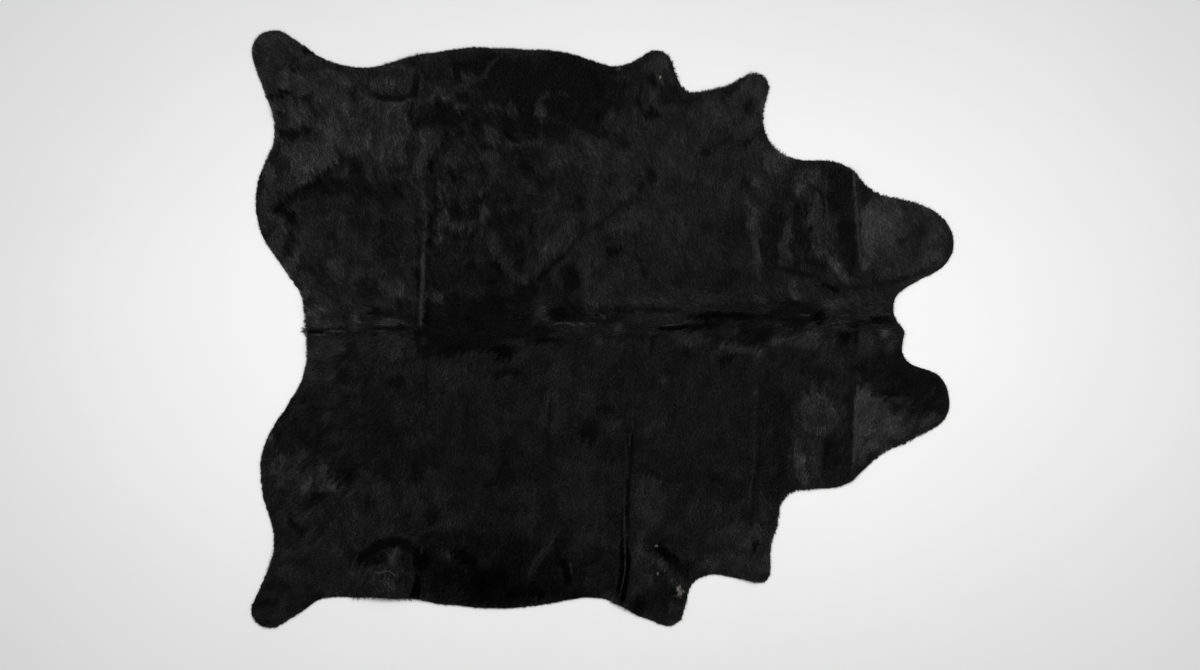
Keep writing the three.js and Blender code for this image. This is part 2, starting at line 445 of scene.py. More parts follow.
nearSway, farSway = swayed(sway["near"]), swayed(sway["far"])
swayX = gridX + nearSway[0] + sway["alongHair"] * streaks * layX
swayY = gridY + nearSway[1] + sway["alongHair"] * streaks * layY
broadX, broadY = swayX + farSway[0], swayY + farSway[1]


def patchCover(x, y, row, soft):
    # 1 inside an oval and 0 outside, with soft millimetres between
    ovalX, ovalY, long, short, turn, _ = row
    c, s = math.cos(math.radians(turn)), math.sin(math.radians(turn))
    ox, oy = x - ovalX, y - ovalY
    out = np.hypot((ox * c + oy * s) / long, (oy * c - ox * s) / short)
    return 1 - smooth(((out - 1) * math.sqrt(long * short) + soft) / (2 * soft))


strokeForm = {
    "endShare": 0.15,    # of its length, over which it thins out
    "endWidth": 0.45, "endStrength": 0.4,   # shares that are left at its ends
    "softShare": 0.5, "softMost": 4.0,      # how wide its edge fades, at most
    "margin": 30.0,      # room in its window for the sway
}


def strokeCover(part, path, width, loose):
    # 1 on the path and 0 beyond its width, thinner towards both ends
    x = gridX[part] + loose * (swayX[part] - gridX[part])
    y = gridY[part] + loose * (swayY[part] - gridY[part])
    path = np.array(path, float)
    runs = np.hypot(*np.diff(path, axis=0).T)
    total, gone = runs.sum(), 0.0
    away = np.full(x.shape, np.inf)
    place = np.zeros(x.shape)
    for (ax, ay), (bx, by), run in zip(path[:-1], path[1:], runs):
        share = np.clip(((x - ax) * (bx - ax) + (y - ay) * (by - ay)) / run ** 2, 0.0, 1.0)
        far = np.hypot(x - ax - share * (bx - ax), y - ay - share * (by - ay))
        closer = far < away
        away = np.where(closer, far, away)
        place = np.where(closer, (gone + share * run) / total, place)
        gone += run
    ends = smooth(np.minimum(place, 1 - place) / strokeForm["endShare"])
    thin, faint = strokeForm["endWidth"], strokeForm["endStrength"]
    half = width / 2 * (thin + (1 - thin) * ends)
    soft = np.minimum(strokeForm["softShare"] * half, strokeForm["softMost"])
    return (1 - smooth((away - half + soft) / (2 * soft))) * (faint + (1 - faint) * ends)


def strokeWindow(path, width):
    x, y = np.array(path, float).T
    return windowRound(x.min(), x.max(), y.min(), y.max(), width + strokeForm["margin"])


# Creases too sharp for the solid: ridges stand up, those below 0 press the hair and skin down
creaseTable = [
    # rise, width, path
    (-2.4, 12, [(156, -3), (185, 2), (220, 5), (262, 11)]),
    (-2.0, 19, [(270, 35), (300, 41), (345, 42), (400, 38), (450, 36)]),
    (1.6, 22, [(170, -20), (262, -12), (300, -8), (420, -6), (500, 0)]),
    (-2.2, 10, [(-886, -7), (-862, -7), (-838, -5)]),
    (-1.2, 8, [(-845, -1), (-800, 0), (-765, 3)]),
    (-1.2, 10, [(-700, 3), (-640, 4), (-560, 3)]),
    (1.8, 12, [(-160, 16), (-110, 16), (-40, 14)]),
    (-1.4, 12, [(-527, 0), (-526, 130), (-521, 290), (-508, 400), (-510, 510)]),
    (-1.5, 9, [(-556, 10), (-555, 130), (-552, 250)]),
    (1.4, 11, [(-545, 8), (-541, 120), (-537, 240), (-534, 345)]),
    (-2.0, 27, [(-741, -707), (-722, -684), (-700, -667), (-672, -649), (-645, -638), (-615, -637),
                (-590, -648), (-562, -664)]),
    (2.2, 9, [(-682, -728), (-660, -727), (-640, -723), (-620, -738)]),
    (-2.3, 15, [(-558, -734), (-562, -770), (-566, -804)]),
    (-2.3, 13, [(-557, -748), (-556, -780), (-555, -804)]),
    (-2.3, 13, [(-561, -765), (-568, -786), (-574, -804)]),
    (1.8, 16, [(-305, 820), (-340, 790), (-355, 760), (-392, 740), (-440, 716), (-500, 702)]),
    (-1.8, 14, [(-685, 706), (-655, 695), (-625, 691), (-590, 696), (-562, 706), (-562, 735), (-560, 768)]),
    (1.5, 10, [(92, -190), (88, -300), (84, -390)]),
    (1.6, 8, [(66, -430), (64, -560), (64, -620), (66, -680), (64, -725), (58, -765), (52, -805)]),
    (-1.4, 8, [(84, -330), (82, -395), (77, -450)]),
    (-1.8, 11, [(75, -435), (74, -490), (72, -560), (73, -615)]),
    (-2.4, 14, [(74, -655), (75, -692), (70, -738)]),
    (-2.4, 17, [(71, -728), (64, -770), (56, -822)]),
    (-2.3, 12, [(58, -615), (60, -660), (58, -700), (52, -745), (44, -800)]),
    (-1.5, 12, [(520, 185), (575, 172), (640, 160), (665, 135), (715, 119), (780, 128), (860, 141),
                (930, 162), (990, 184)]),
    (-1.4, 8, [(618, 432), (652, 408), (664, 368), (660, 330)]),
    (-1.0, 9, [(470, -215), (470, -300), (466, -400), (452, -490), (448, -540), (444, -585)]),
    (1.2, 9, [(457, -230), (455, -320), (452, -400), (438, -500), (435, -580)]),
    (-0.8, 8, [(436, -588), (458, -578), (480, -584), (505, -576), (522, -572)]),
    (1.4, 16, [(-128, -600), (-160, -650), (-200, -692), (-226, -752)]),
    (-2.2, 10, [(-144, -622), (-140, -664), (-124, -690)]),
    (-2.3, 17, [(-126, -690), (-112, -720), (-104, -768)]),
    (-2.2, 15, [(165, -657), (179, -673), (192, -692)]),
    (-2.0, 22, [(187, -684), (204, -692), (222, -697)]),
    (-1.0, 8, [(98, 300), (98, 230), (104, 185)]),
]

creaseForm = {
    "loose": 0.25,   # share of the sway that a crease follows
    "deepest": -2.4, "highest": 3.0,
    "skinDeepest": -1.2,   # below that only the hair is pressed
}
crease = np.zeros(gridX.shape)
for rise, width, path in creaseTable:
    part = strokeWindow(path, width)
    crease[part] += rise * strokeCover(part, path, width, creaseForm["loose"])
crease = np.clip(crease, creaseForm["deepest"], creaseForm["highest"])

# Painted light and tone on the hair, in stops brighter or darker than plain black hair: the painted sheen of
# hair that leans towards or away from the light, painted shade in creases, partings and beside the buckle,
# and painted highlights on crests. Broad zones come first, then patches, then narrow lines, each painted over
# the last.
paintedLightZones = [
    # x, y, long, short, turn, stops
    (0, 0, 560, 430, 0, -0.20),
    (230, 240, 340, 170, 0, 0.12),
    (230, 520, 330, 210, 0, 0.42),
    (260, -330, 330, 330, 0, -0.25),
    (-260, -330, 340, 270, 0, -0.30),
    (-400, 470, 240, 120, 0, -0.12),
    (-400, 230, 230, 140, 0, -0.50),
    (-790, 240, 260, 200, 0, 0.16),
    (-760, -600, 300, 190, 0, 0.05),
    (-850, -310, 200, 90, -10, -0.55),
    (-670, -320, 130, 110, 0, -0.50),
    (-980, -800, 120, 100, 40, -0.1),
    (-790, 620, 260, 140, 0, 0.90),
    (-950, 790, 150, 110, -40, 0.95),
    (-650, 745, 110, 55, 5, 0.35),
    (-490, 770, 60, 70, 0, 0.05),
    (-380, 780, 80, 50, 20, -1.1),
    (-170, 720, 210, 120, 0, -0.85),
    (-420, 640, 130, 50, 0, -0.75),
    (-380, 15, 170, 85, 0, -1.20),
    (-300, -720, 280, 105, -3, -1.10),
    (18, 705, 36, 100, 0, -0.55),
    (160, 770, 60, 60, 0, 0.55),
    (440, 680, 90, 70, 0, 0.80),
    (640, 300, 110, 160, 0, 0.20),
    (520, -330, 50, 180, 0, -0.50),
    (660, -330, 110, 140, 0, 0.30),
    (430, -640, 110, 90, 0, 0.65),
    (160, -780, 90, 90, 0, -0.15),
    (930, 260, 120, 120, 0, 0.75),
    (900, -180, 140, 110, -20, -0.55),
    (760, 30, 120, 70, 0, 0.10),
]
paintedLightPatches = {
    "left hind quarter": [
        (-1000, 845, 45, 40, 0, 0.95), (-905, 735, 90, 40, -20, 1.1), (-840, 560, 130, 90, 0, 0.9),
        (-640, 600, 55, 90, 0, 1.0), (-730, 650, 70, 40, 0, 0.8), (-855, 818, 60, 9, -32, -0.2),
        (-935, 800, 50, 8, 30, 0.1), (-922, 783, 12, 8, 0, -1.2), (-968, 708, 38, 9, 18, -0.9),
        (-925, 685, 10, 16, 0, -0.6), (-888, 692, 24, 9, 40, -0.8), (-936, 591, 28, 19, 3, -1.2),
        (-889, 598, 12, 10, 0, -0.8), (-980, 520, 14, 45, -10, -0.3), (-905, 640, 30, 26, 0, 1.15),
        (-870, 655, 8, 24, 20, 0.2), (-745, 745, 26, 45, 0, 0.25), (-690, 735, 40, 30, 0, 0.2),
        (-655, 740, 45, 20, 0, 1.1), (-635, 788, 50, 9, 8, 1.0), (-605, 740, 25, 30, 0, 0.55),
        (-542, 640, 40, 42, 0, -0.65), (-620, 560, 40, 30, 0, 1.3), (-690, 600, 12, 60, 0, 0.7),
        (-812, 735, 55, 48, 0, 1.25), (-725, 750, 22, 34, 0, 0.2), (-1000, 458, 20, 55, 10, 1.3),
        (-965, 640, 20, 40, 0, 0.5), (-718, 512, 30, 26, 0, 0.1), (-540, 745, 15, 30, 0, -0.6),
        (-938, 634, 22, 10, 0, 0.4),
    ],
    "nap edge on the left rump": [
        (-930, 455, 70, 34, 28, 1.15), (-985, 430, 18, 30, 0, 1.2), (-860, 490, 60, 24, 20, 1.2),
        (-890, 415, 100, 18, 27, -0.95), (-800, 450, 70, 40, 35, -0.75), (-760, 480, 50, 50, 0, -0.55),
        (-975, 372, 18, 20, 0, -1.7), (-937, 338, 16, 18, 0, -1.6), (-955, 352, 26, 10, -45, -1.4),
        (-884, 433, 20, 9, 8, -1.8), (-960, 310, 18, 14, 0, 1.1), (-1016, 392, 18, 56, 0, 0.9),
        (-945, 255, 16, 48, 0, -0.6), (-700, 410, 80, 40, 0, -0.4), (-775, 455, 7, 26, -15, 0.6),
        (-690, 450, 30, 24, 0, 0.1), (-560, 440, 34, 34, 0, 0.7), (-588, 424, 24, 22, 0, 0.75),
        (-1008, 320, 18, 34, -15, 0.5), (-657, 455, 24, 24, 0, 0.6), (-545, 498, 24, 30, 0, 0.8),
    ],
    "left rump": [
        (-985, 265, 20, 40, -25, 0.9), (-935, 195, 20, 45, -25, 1.25), (-900, 130, 16, 45, -10, 1.05),
        (-860, 40, 34, 34, 0, 1.2), (-880, 265, 34, 40, 0, 0.45), (-850, 330, 50, 30, 0, 0.2),
        (-800, 40, 34, 34, 0, 0.55), (-590, 62, 36, 26, 0, -0.9), (-742, 28, 20, 30, 0, 1.1),
        (-640, 130, 42, 32, 0, 0.8), (-650, 232, 46, 26, 0, -0.4), (-700, 310, 60, 40, 0, -0.2),
        (-780, 290, 12, 60, 0, 0.5), (-800, 180, 30, 26, 0, 0.85), (-735, 170, 34, 24, 0, 0.6),
        (-845, 190, 20, 24, 0, -0.1), (-700, 120, 30, 34, 0, -0.3), (-765, 120, 20, 34, 0, 0.1),
        (-830, 85, 26, 20, 0, 0.6), (-648, 52, 50, 14, 0, -1.0), (-640, 23, 42, 11, 0, 0.95),
        (-620, 340, 40, 50, 0, 0.0), (-640, 280, 20, 12, 0, 0.3), (-560, 330, 24, 40, 0, 0.1),
        (-836, 32, 6, 16, 20, -0.3), (-575, 275, 9, 18, -25, 0.8), (-578, 332, 18, 12, -25, 0.6),
        (-856, 122, 24, 28, 0, 0.7), (-826, 14, 20, 16, 0, 0.9),
    ],
    "left flank": [
        (-530, 558, 20, 48, 0, 1.05), (-490, 480, 16, 34, 0, -0.7), (-470, 520, 24, 20, 0, 0.5),
        (-420, 520, 26, 20, 0, 0.65), (-335, 520, 30, 22, 0, 0.3), (-430, 582, 26, 12, 0, -1.4),
        (-330, 548, 34, 10, 0, -1.0), (-325, 586, 28, 24, 0, 0.8), (-385, 600, 20, 24, 0, -1.2),
        (-480, 640, 70, 34, 0, -0.95), (-485, 705, 40, 16, 0, 1.3), (-430, 665, 24, 10, 0, 0.7),
        (-345, 664, 28, 13, 0, 0.35), (-275, 655, 18, 26, 15, 0.6), (-185, 655, 15, 28, 0, 1.0),
        (-150, 628, 24, 8, -12, 0.1), (-170, 698, 14, 12, 0, 0.7), (-408, 752, 20, 14, 0, 0.7),
        (-200, 570, 40, 8, -35, 0.5), (-172, 598, 10, 12, 0, -1.3), (-438, 722, 36, 11, 25, 0.85),
        (-95, 520, 95, 40, 0, 0.5), (-25, 552, 40, 38, 0, 0.7), (-280, 826, 70, 7, -3, 0.1),
        (-230, 477, 32, 17, 0, -0.85), (-180, 465, 24, 9, -35, 0.5), (-40, 610, 60, 22, -25, -0.9),
        (-380, 480, 30, 20, 0, -0.3), (-300, 450, 40, 22, 0, -0.6), (-112, 612, 24, 7, -14, 0.1),
        (-480, 540, 26, 18, 0, -0.3), (-466, 763, 20, 18, 0, 0.4), (-462, 684, 22, 9, 0, 0.4),
        (-185, 812, 44, 12, -4, -0.3),
    ],
    "left loin": [
        (-490, 425, 20, 26, 0, 0.8), (-495, 360, 9, 34, 0, -0.7), (-515, 370, 8, 40, 0, 0.9),
        (-400, 350, 24, 14, 0, -1.5), (-440, 362, 28, 12, 0, -0.9), (-450, 318, 54, 16, 0, 0.5),
        (-360, 350, 16, 30, 0, 0.65), (-352, 390, 18, 16, 0, -0.8), (-300, 422, 36, 16, 0, -0.8),
        (-230, 420, 28, 18, 0, 0.45), (-190, 352, 24, 10, 0, 0.55), (-150, 340, 60, 34, 0, 0.1),
        (-430, 258, 50, 20, 0, -0.5), (-370, 255, 20, 24, 0, -0.1), (-480, 285, 40, 18, 0, -0.6),
        (-270, 340, 40, 16, 0, -0.45), (-488, 236, 34, 24, 0, -0.85), (-250, 66, 36, 46, 0, -1.3),
        (-480, 190, 40, 14, 0, -0.15), (-495, 100, 20, 17, 0, 0.8), (-400, 125, 70, 12, 0, -0.25),
        (-490, 138, 45, 8, 0, -1.1), (-430, 205, 40, 16, 0, -0.3), (-325, 160, 44, 40, 0, -1.15),
        (-300, 210, 70, 9, 0, -0.05), (-492, 275, 22, 9, 55, 0.9), (-483, 332, 28, 9, 62, 0.9),
        (-486, 305, 14, 6, 0, 0.8), (-225, 118, 32, 26, 30, -1.3), (-456, 415, 17, 52, 10, 0.6),
    ],
    "left parting": [
        (-330, 255, 17, 40, 30, 0.6), (-290, 190, 17, 40, 35, 0.6), (-250, 150, 26, 16, -30, 0.55),
        (-205, 190, 46, 20, 48, 0.6), (-150, 262, 56, 20, 50, 0.6), (-85, 325, 40, 24, 30, 0.5),
        (-272, 250, 32, 26, 0, -1.0), (-250, 290, 36, 22, 0, 0.1), (-212, 272, 16, 20, 0, -0.6),
        (-250, 185, 10, 22, 0, -0.6), (-165, 128, 24, 44, 0, -0.4), (-102, 152, 28, 48, 0, -1.3),
        (-38, 215, 36, 78, 0, 0.45), (-35, 205, 5, 7, 0, -1.8), (-30, 168, 6, 10, 0, -0.9),
        (-187, 45, 14, 34, 0, 0.6), (-112, 46, 52, 22, 0, -1.5), (-90, 75, 24, 16, 0, -0.8),
        (-30, 82, 34, 30, 0, 0.4), (-60, 300, 40, 18, 0, -0.2), (10, 110, 30, 40, 0, 0.45),
        (2, 40, 17, 15, 0, -0.9), (-22, 400, 32, 70, 0, 0.05), (42, 150, 30, 30, 0, 0.5),
    ],
    "left foreleg and elbow": [
        (165, 800, 34, 28, 0, 0.9), (136, 750, 26, 18, 0, -0.6), (200, 712, 34, 32, -30, -0.55),
        (142, 650, 26, 15, 0, -1.6), (108, 690, 9, 44, 0, -0.6), (152, 700, 11, 34, 14, 0.95),
        (166, 745, 14, 8, 45, 0.7), (88, 720, 8, 26, 0, 0.4), (120, 590, 50, 40, 0, 0.6),
        (190, 560, 80, 50, 0, 0.5), (380, 600, 60, 30, 0, 0.4), (235, 685, 50, 16, -5, -0.35),
        (290, 690, 40, 10, 0, -0.1), (20, 632, 15, 28, 0, 0.5), (82, 645, 10, 40, 0, 0.3),
        (45, 565, 28, 24, 0, -0.3), (320, 645, 70, 46, 0, 0.7), (362, 682, 9, 12, 0, -0.6),
        (385, 708, 16, 14, 0, -0.4), (440, 660, 17, 20, 0, -0.25), (452, 724, 44, 30, 0, 1.0),
        (430, 612, 22, 16, 0, 0.85), (438, 562, 19, 9, 0, -0.9), (303, 530, 13, 14, 0, -0.6),
        (472, 588, 18, 14, -30, -0.5), (360, 562, 36, 9, 25, -0.3), (460, 445, 14, 20, 0, 1.1),
        (432, 440, 12, 18, 0, -0.5), (526, 508, 46, 36, 0, 1.0), (52, 762, 26, 28, 0, 0.2),
        (220, 640, 46, 20, -20, 0.5), (322, 592, 50, 22, -14, 0.65), (116, 526, 24, 22, 0, 0.6),
    ],
    "left ribs": [
        (20, 455, 28, 24, 0, -0.35), (148, 458, 14, 24, -25, -0.75), (260, 440, 14, 14, 0, -0.5),
        (65, 378, 44, 9, 33, -0.65), (40, 310, 50, 30, 0, 0.35), (200, 300, 60, 60, 0, 0.3),
        (38, 230, 28, 14, 0, -1.0), (58, 234, 9, 9, 0, -1.3), (303, 308, 8, 20, 0, -0.6),
        (370, 238, 30, 9, 10, -0.4), (190, 45, 44, 13, 0, 0.3), (20, 86, 36, 11, 0, 1.0),
        (350, 145, 100, 36, 0, -0.35), (500, 250, 34, 110, 0, -0.4), (120, 170, 7, 18, 10, -0.9),
        (470, 86, 12, 12, 0, 0.8), (235, 165, 50, 36, 0, -0.2), (395, 310, 34, 60, 0, -0.1),
        (418, 272, 20, 40, 0, -0.3), (250, 40, 14, 9, 0, -0.8),
    ],
    "left shoulder": [
        (549, 250, 20, 72, 0, 0.8), (580, 270, 20, 90, 0, -0.7), (582, 365, 17, 40, 0, -0.5),
        (520, 345, 30, 36, 0, -0.45), (535, 400, 34, 16, 0, -0.3), (620, 455, 44, 24, 0, 0.8),
        (594, 420, 17, 14, 0, 1.85), (642, 470, 12, 18, 0, 1.2), (645, 310, 38, 90, 0, 0.65),
        (612, 262, 9, 40, 0, -0.6), (640, 200, 34, 18, -20, -0.5), (712, 440, 40, 50, 0, -0.75),
        (731, 340, 28, 90, 6, -0.55), (735, 240, 27, 70, 4, -0.6), (660, 235, 14, 8, 0, 1.5),
        (692, 200, 26, 13, -48, 1.5), (722, 162, 30, 12, -42, 1.2), (570, 112, 17, 40, 10, 1.25),
        (610, 112, 26, 22, 0, 0.4), (702, 76, 36, 20, 0, 0.95), (778, 78, 10, 26, 0, -0.4),
        (850, 92, 26, 26, 0, 0.1), (433, 375, 15, 10, -35, 1.1), (426, 400, 5, 9, 0, 0.9),
        (453, 352, 9, 15, 20, 1.15), (446, 322, 19, 18, 0, 0.95), (435, 314, 5, 5, 0, 1.6),
        (453, 314, 6, 5, 0, 1.7), (461, 297, 8, 10, 0, 0.95), (457, 272, 13, 11, 0, 0.95),
        (459, 232, 11, 30, 0, 1.1), (466, 216, 5, 10, 0, 1.6), (455, 200, 15, 9, 0, 0.65),
        (466, 166, 9, 12, 0, 0.95), (600, 390, 16, 18, 0, 0.3), (708, 388, 36, 42, 0, -0.75),
        (748, 250, 16, 70, 4, -0.75),
    ],
    "left neck": [
        (835, 340, 60, 50, 0, 1.35), (828, 285, 52, 56, -30, 1.5), (848, 280, 58, 28, 40, 1.6),
        (795, 222, 18, 40, -25, 1.45), (880, 340, 24, 34, 0, 1.35), (797, 320, 9, 60, 0, 1.45),
        (780, 410, 14, 34, 10, -0.7), (850, 385, 40, 9, -6, 1.2), (945, 310, 36, 40, 0, 0.65),
        (895, 258, 12, 12, 0, -0.3), (930, 240, 26, 20, 0, 0.5), (1000, 265, 26, 60, 10, 0.95),
        (970, 210, 50, 18, 18, 1.3), (850, 185, 50, 20, 8, 0.45), (835, 222, 20, 12, 30, 0.6),
        (925, 345, 20, 16, 0, 0.7), (950, 290, 10, 16, 0, 0.1), (800, 272, 26, 66, 0, 1.45),
        (785, 225, 11, 50, 0, 1.45), (842, 268, 52, 26, 35, 1.45), (775, 398, 9, 40, 10, -0.3),
    ],
    "spine": [
        (790, -55, 40, 24, 0, 0.35), (745, -88, 34, 18, 0, 0.15), (-538, -55, 26, 40, 0, -1.1),
        (-185, 0, 30, 18, 0, -1.3), (-470, -25, 90, 62, 0, -1.35), (-320, 0, 110, 85, 0, -1.3),
        (-272, -38, 46, 11, 12, -0.6), (-245, -38, 18, 14, 40, -0.2), (-300, -70, 36, 17, -8, -2.5),
        (-165, -27, 44, 9, 0, -1.9), (-125, -42, 30, 10, 0, -1.0), (-20, -30, 20, 20, 0, 0.6),
        (45, 10, 22, 18, 0, 0.7), (70, -22, 80, 11, 0, -0.7), (565, 45, 75, 34, 0, -0.85),
        (652, 34, 16, 22, 0, -2.2), (676, 34, 9, 6, 20, -1.6), (834, 30, 32, 12, -6, -1.7),
        (772, 30, 20, 8, 0, -1.3), (765, 14, 20, 5, 10, -1.3), (720, -18, 20, 13, 0, -2.2),
        (724, -34, 11, 13, 0, -2.2), (847, -12, 15, 13, 0, 1.5), (870, -46, 14, 11, 35, 1.3),
        (800, -18, 24, 22, 0, 0.5), (770, -24, 8, 18, 0, 0.95), (590, -32, 60, 26, 0, 0.8),
        (630, -8, 14, 10, 0, 1.3), (520, -28, 24, 22, 0, 1.2), (450, 0, 50, 44, 0, -1.2),
        (385, 12, 30, 12, 0, -0.9), (250, -30, 52, 26, 0, 0.55), (283, 8, 30, 10, 0, -1.8),
        (315, 22, 14, 24, 0, -2.1), (345, 16, 22, 12, 0, -1.3), (360, 22, 8, 9, 0, -2.3),
        (400, -60, 62, 16, -6, 0.75), (315, -34, 16, 14, 0, 0.4), (468, -76, 18, 16, 0, 1.1),
        (402, -29, 28, 7, 0, -0.9), (368, -91, 26, 7, 0, -1.6), (235, -77, 40, 8, 0, -0.8),
        (-530, -30, 14, 13, 0, 0.0), (20, -140, 60, 40, 0, -0.3),
    ],
    "right rump": [
        (-855, -60, 40, 40, 0, 0.35), (-880, -130, 12, 40, 15, 0.7), (-628, -58, 34, 40, 0, 0.15),
        (-760, -70, 26, 34, 0, -0.3), (-800, -48, 24, 34, 0, 0.4), (-785, -148, 20, 18, 0, -0.9),
        (-712, -156, 20, 14, 0, -0.7), (-622, -152, 24, 18, 0, -1.1), (-830, -130, 30, 24, 0, 0.4),
        (-840, -222, 24, 18, 0, 0.3), (-750, -225, 60, 30, 0, -0.35), (-832, -262, 20, 18, 0, 0.4),
        (-900, -255, 40, 26, -40, -0.3), (-950, -340, 40, 30, 0, -0.75), (-880, -330, 40, 30, 0, -0.75),
        (-690, -330, 60, 40, 0, -0.6), (-780, -318, 40, 24, 0, -0.3), (-1002, -330, 9, 22, -10, 0.8),
        (-580, -270, 50, 40, 0, -0.3), (-645, -260, 20, 24, 0, -0.4), (-560, -330, 34, 30, 0, -0.1),
        (-560, -420, 34, 40, 0, -0.45),
    ],
    "right hind quarter": [
        (-955, -430, 46, 56, 0, 0.6), (-882, -468, 13, 26, 0, 1.2), (-842, -432, 18, 24, -20, 0.9),
        (-812, -470, 28, 20, 0, 1.05), (-850, -502, 17, 14, 0, -1.4), (-864, -445, 8, 40, 8, -0.2),
        (-762, -430, 17, 40, 0, -1.0), (-790, -440, 7, 50, 0, -0.5), (-702, -505, 62, 64, 0, 0.25),
        (-700, -438, 44, 6, 0, 0.5), (-646, -440, 17, 17, 0, -1.3), (-625, -480, 17, 34, 0, -0.7),
        (-600, -530, 30, 40, 0, -0.3), (-910, -560, 22, 34, 0, 0.15), (-972, -545, 24, 26, 0, -0.25),
        (-978, -768, 30, 22, -20, -0.6), (-1012, -820, 30, 9, 10, -1.1), (-1000, -862, 34, 18, 0, -0.1),
        (-940, -843, 16, 18, 0, -0.8), (-955, -722, 34, 10, -30, 0.35), (-870, -820, 40, 14, 30, -0.5),
        (-760, -690, 40, 30, 0, -0.4), (-850, -690, 60, 40, 0, 0.05), (-894, -645, 40, 26, 0, 0.35),
        (-819, -604, 34, 26, 0, 0.35), (-716, -655, 26, 14, 0, 0.2), (-790, -712, 34, 22, 0, -0.5),
    ],
    "right flank buckle": [
        (-650, -745, 84, 44, 0, 0.2), (-680, -692, 32, 15, 20, -0.9), (-628, -684, 14, 26, 0, 0.85),
        (-646, -762, 18, 20, 30, 0.95), (-638, -750, 7, 9, 0, 1.2), (-690, -772, 26, 14, 0, 0.1),
        (-735, -750, 20, 26, 0, 0.3), (-553, -684, 24, 30, 0, -3.6), (-534, -690, 20, 22, 0, -3.3),
        (-594, -690, 12, 30, 0, -0.7), (-598, -755, 20, 30, 0, -0.2), (-549, -666, 7, 7, 0, 1.3),
        (-550, -640, 6, 16, 0, 0.1), (-532, -757, 16, 34, 0, -0.8), (-692, -733, 14, 6, 0, 0.7),
    ],
    "right loin": [
        (-460, -150, 70, 40, 0, 0.15), (-400, -82, 70, 8, 4, 0.2), (-278, -132, 22, 6, 0, -1.9),
        (-240, -150, 30, 20, 0, -0.45), (-150, -250, 46, 60, 0, 0.25), (-322, -150, 5, 22, 0, -0.8),
        (-130, -130, 34, 40, 0, 0.1), (-243, -236, 32, 30, 0, 0.2), (-48, -252, 34, 20, 0, 0.25),
        (-338, -298, 30, 28, 0, -0.35), (-250, -437, 22, 26, 0, -0.7), (-44, -310, 30, 30, 0, -1.35),
        (-46, -318, 11, 10, 0, -1.9), (8, -243, 34, 10, 0, -1.4), (-60, -200, 22, 24, 0, 0.15),
        (-280, -358, 32, 40, 0, -0.8), (-360, -360, 30, 30, 0, -0.55), (20, -370, 50, 34, 0, -0.65),
        (-110, -640, 26, 40, 0, -0.7), (-160, -340, 12, 50, 0, -0.7), (-290, -440, 34, 40, 0, -1.0),
        (-345, -462, 22, 18, 0, -0.9), (-450, -532, 30, 13, 0, -0.95), (-348, -580, 26, 18, 0, -0.8),
        (-262, -542, 50, 12, 0, -0.8), (-512, -560, 26, 18, 0, -1.2), (-468, -580, 30, 17, 0, 0.15),
        (-510, -455, 34, 30, 0, 0.05), (-200, -430, 20, 24, 0, -0.5), (-90, -480, 52, 90, 0, 0.05),
        (-205, -540, 24, 50, 0, 0.0), (-400, -480, 24, 40, 0, -0.2),
    ],
    "right belly": [
        (-340, -640, 90, 20, 0, -0.9), (-500, -632, 40, 20, 0, -1.1), (-270, -730, 40, 26, 0, -1.25),
        (-455, -742, 40, 34, 0, -2.1), (-320, -816, 110, 18, -2, -1.7), (-505, -722, 24, 34, 0, -1.5),
        (-320, -722, 30, 14, 0, -1.5), (-345, -768, 84, 44, -4, -1.9), (-436, -672, 20, 11, -20, -3.2),
        (-412, -690, 24, 13, -42, -3.3), (-390, -712, 22, 20, -30, -3.0), (-374, -744, 24, 18, 0, -3.0),
        (-356, -772, 36, 22, -3, -3.3), (-318, -764, 30, 20, 0, -2.6), (-301, -750, 10, 13, 0, -3.5),
        (-330, -790, 30, 14, 0, -2.2), (-262, -782, 30, 16, 6, -2.8), (-214, -788, 32, 15, -4, -3.2),
        (-190, -798, 22, 11, 0, -2.7), (-470, -676, 24, 8, 0, 0.75), (-330, -672, 14, 12, 0, -0.2),
        (-168, -705, 20, 40, 0, -1.5), (-150, -760, 30, 30, 0, -1.4), (-48, -628, 44, 16, 0, 0.05),
        (-40, -685, 40, 26, 0, -0.75), (-42, -768, 24, 20, 0, 0.0), (-35, -690, 66, 40, 0, -0.75),
    ],
    "right ribs": [
        (30, -290, 34, 20, 0, 0.4), (145, -300, 40, 18, 20, 0.4), (140, -520, 46, 90, 0, 0.5),
        (140, -428, 44, 11, -40, -0.75), (310, -560, 70, 40, 0, 0.15), (350, -456, 34, 16, 0, -0.7),
        (505, -430, 40, 50, 0, -0.5), (522, -500, 20, 24, 0, -0.2), (490, -540, 24, 30, 0, 0.3),
        (175, -148, 14, 17, 0, 0.6), (460, -176, 10, 14, 0, 1.0), (330, -250, 60, 14, 0, -0.4),
        (30, -600, 26, 50, 0, -0.5), (398, -533, 34, 24, 0, 0.2),
    ],
    "right foreleg and elbow": [
        (20, -715, 28, 70, 0, -0.55), (110, -660, 14, 60, 0, 0.7), (125, -700, 30, 30, 0, 0.45),
        (172, -627, 28, 22, 0, -0.45), (246, -722, 32, 24, 0, -0.85), (212, -712, 18, 10, 0, -1.1),
        (172, -702, 9, 15, 25, 0.95), (177, -714, 8, 8, 0, 0.9), (179, -673, 24, 9, -52, -3.8),
        (201, -692, 22, 14, -10, -3.4), (216, -697, 14, 11, 0, -2.6), (150, -820, 46, 30, -20, -0.75),
        (130, -758, 20, 24, 0, 0.4), (195, -775, 26, 26, 0, -0.5), (215, -832, 20, 18, 0, 0.6),
        (92, -792, 8, 26, 0, 0.3), (180, -862, 40, 14, 0, -0.3), (110, -835, 22, 16, -25, -1.4),
        (205, -753, 16, 6, -25, 0.6), (405, -640, 34, 40, 0, 0.6), (447, -645, 10, 15, 0, -1.4),
        (340, -660, 60, 30, 0, 0.1), (400, -692, 40, 22, 0, 0.75), (478, -715, 30, 26, 0, 0.95),
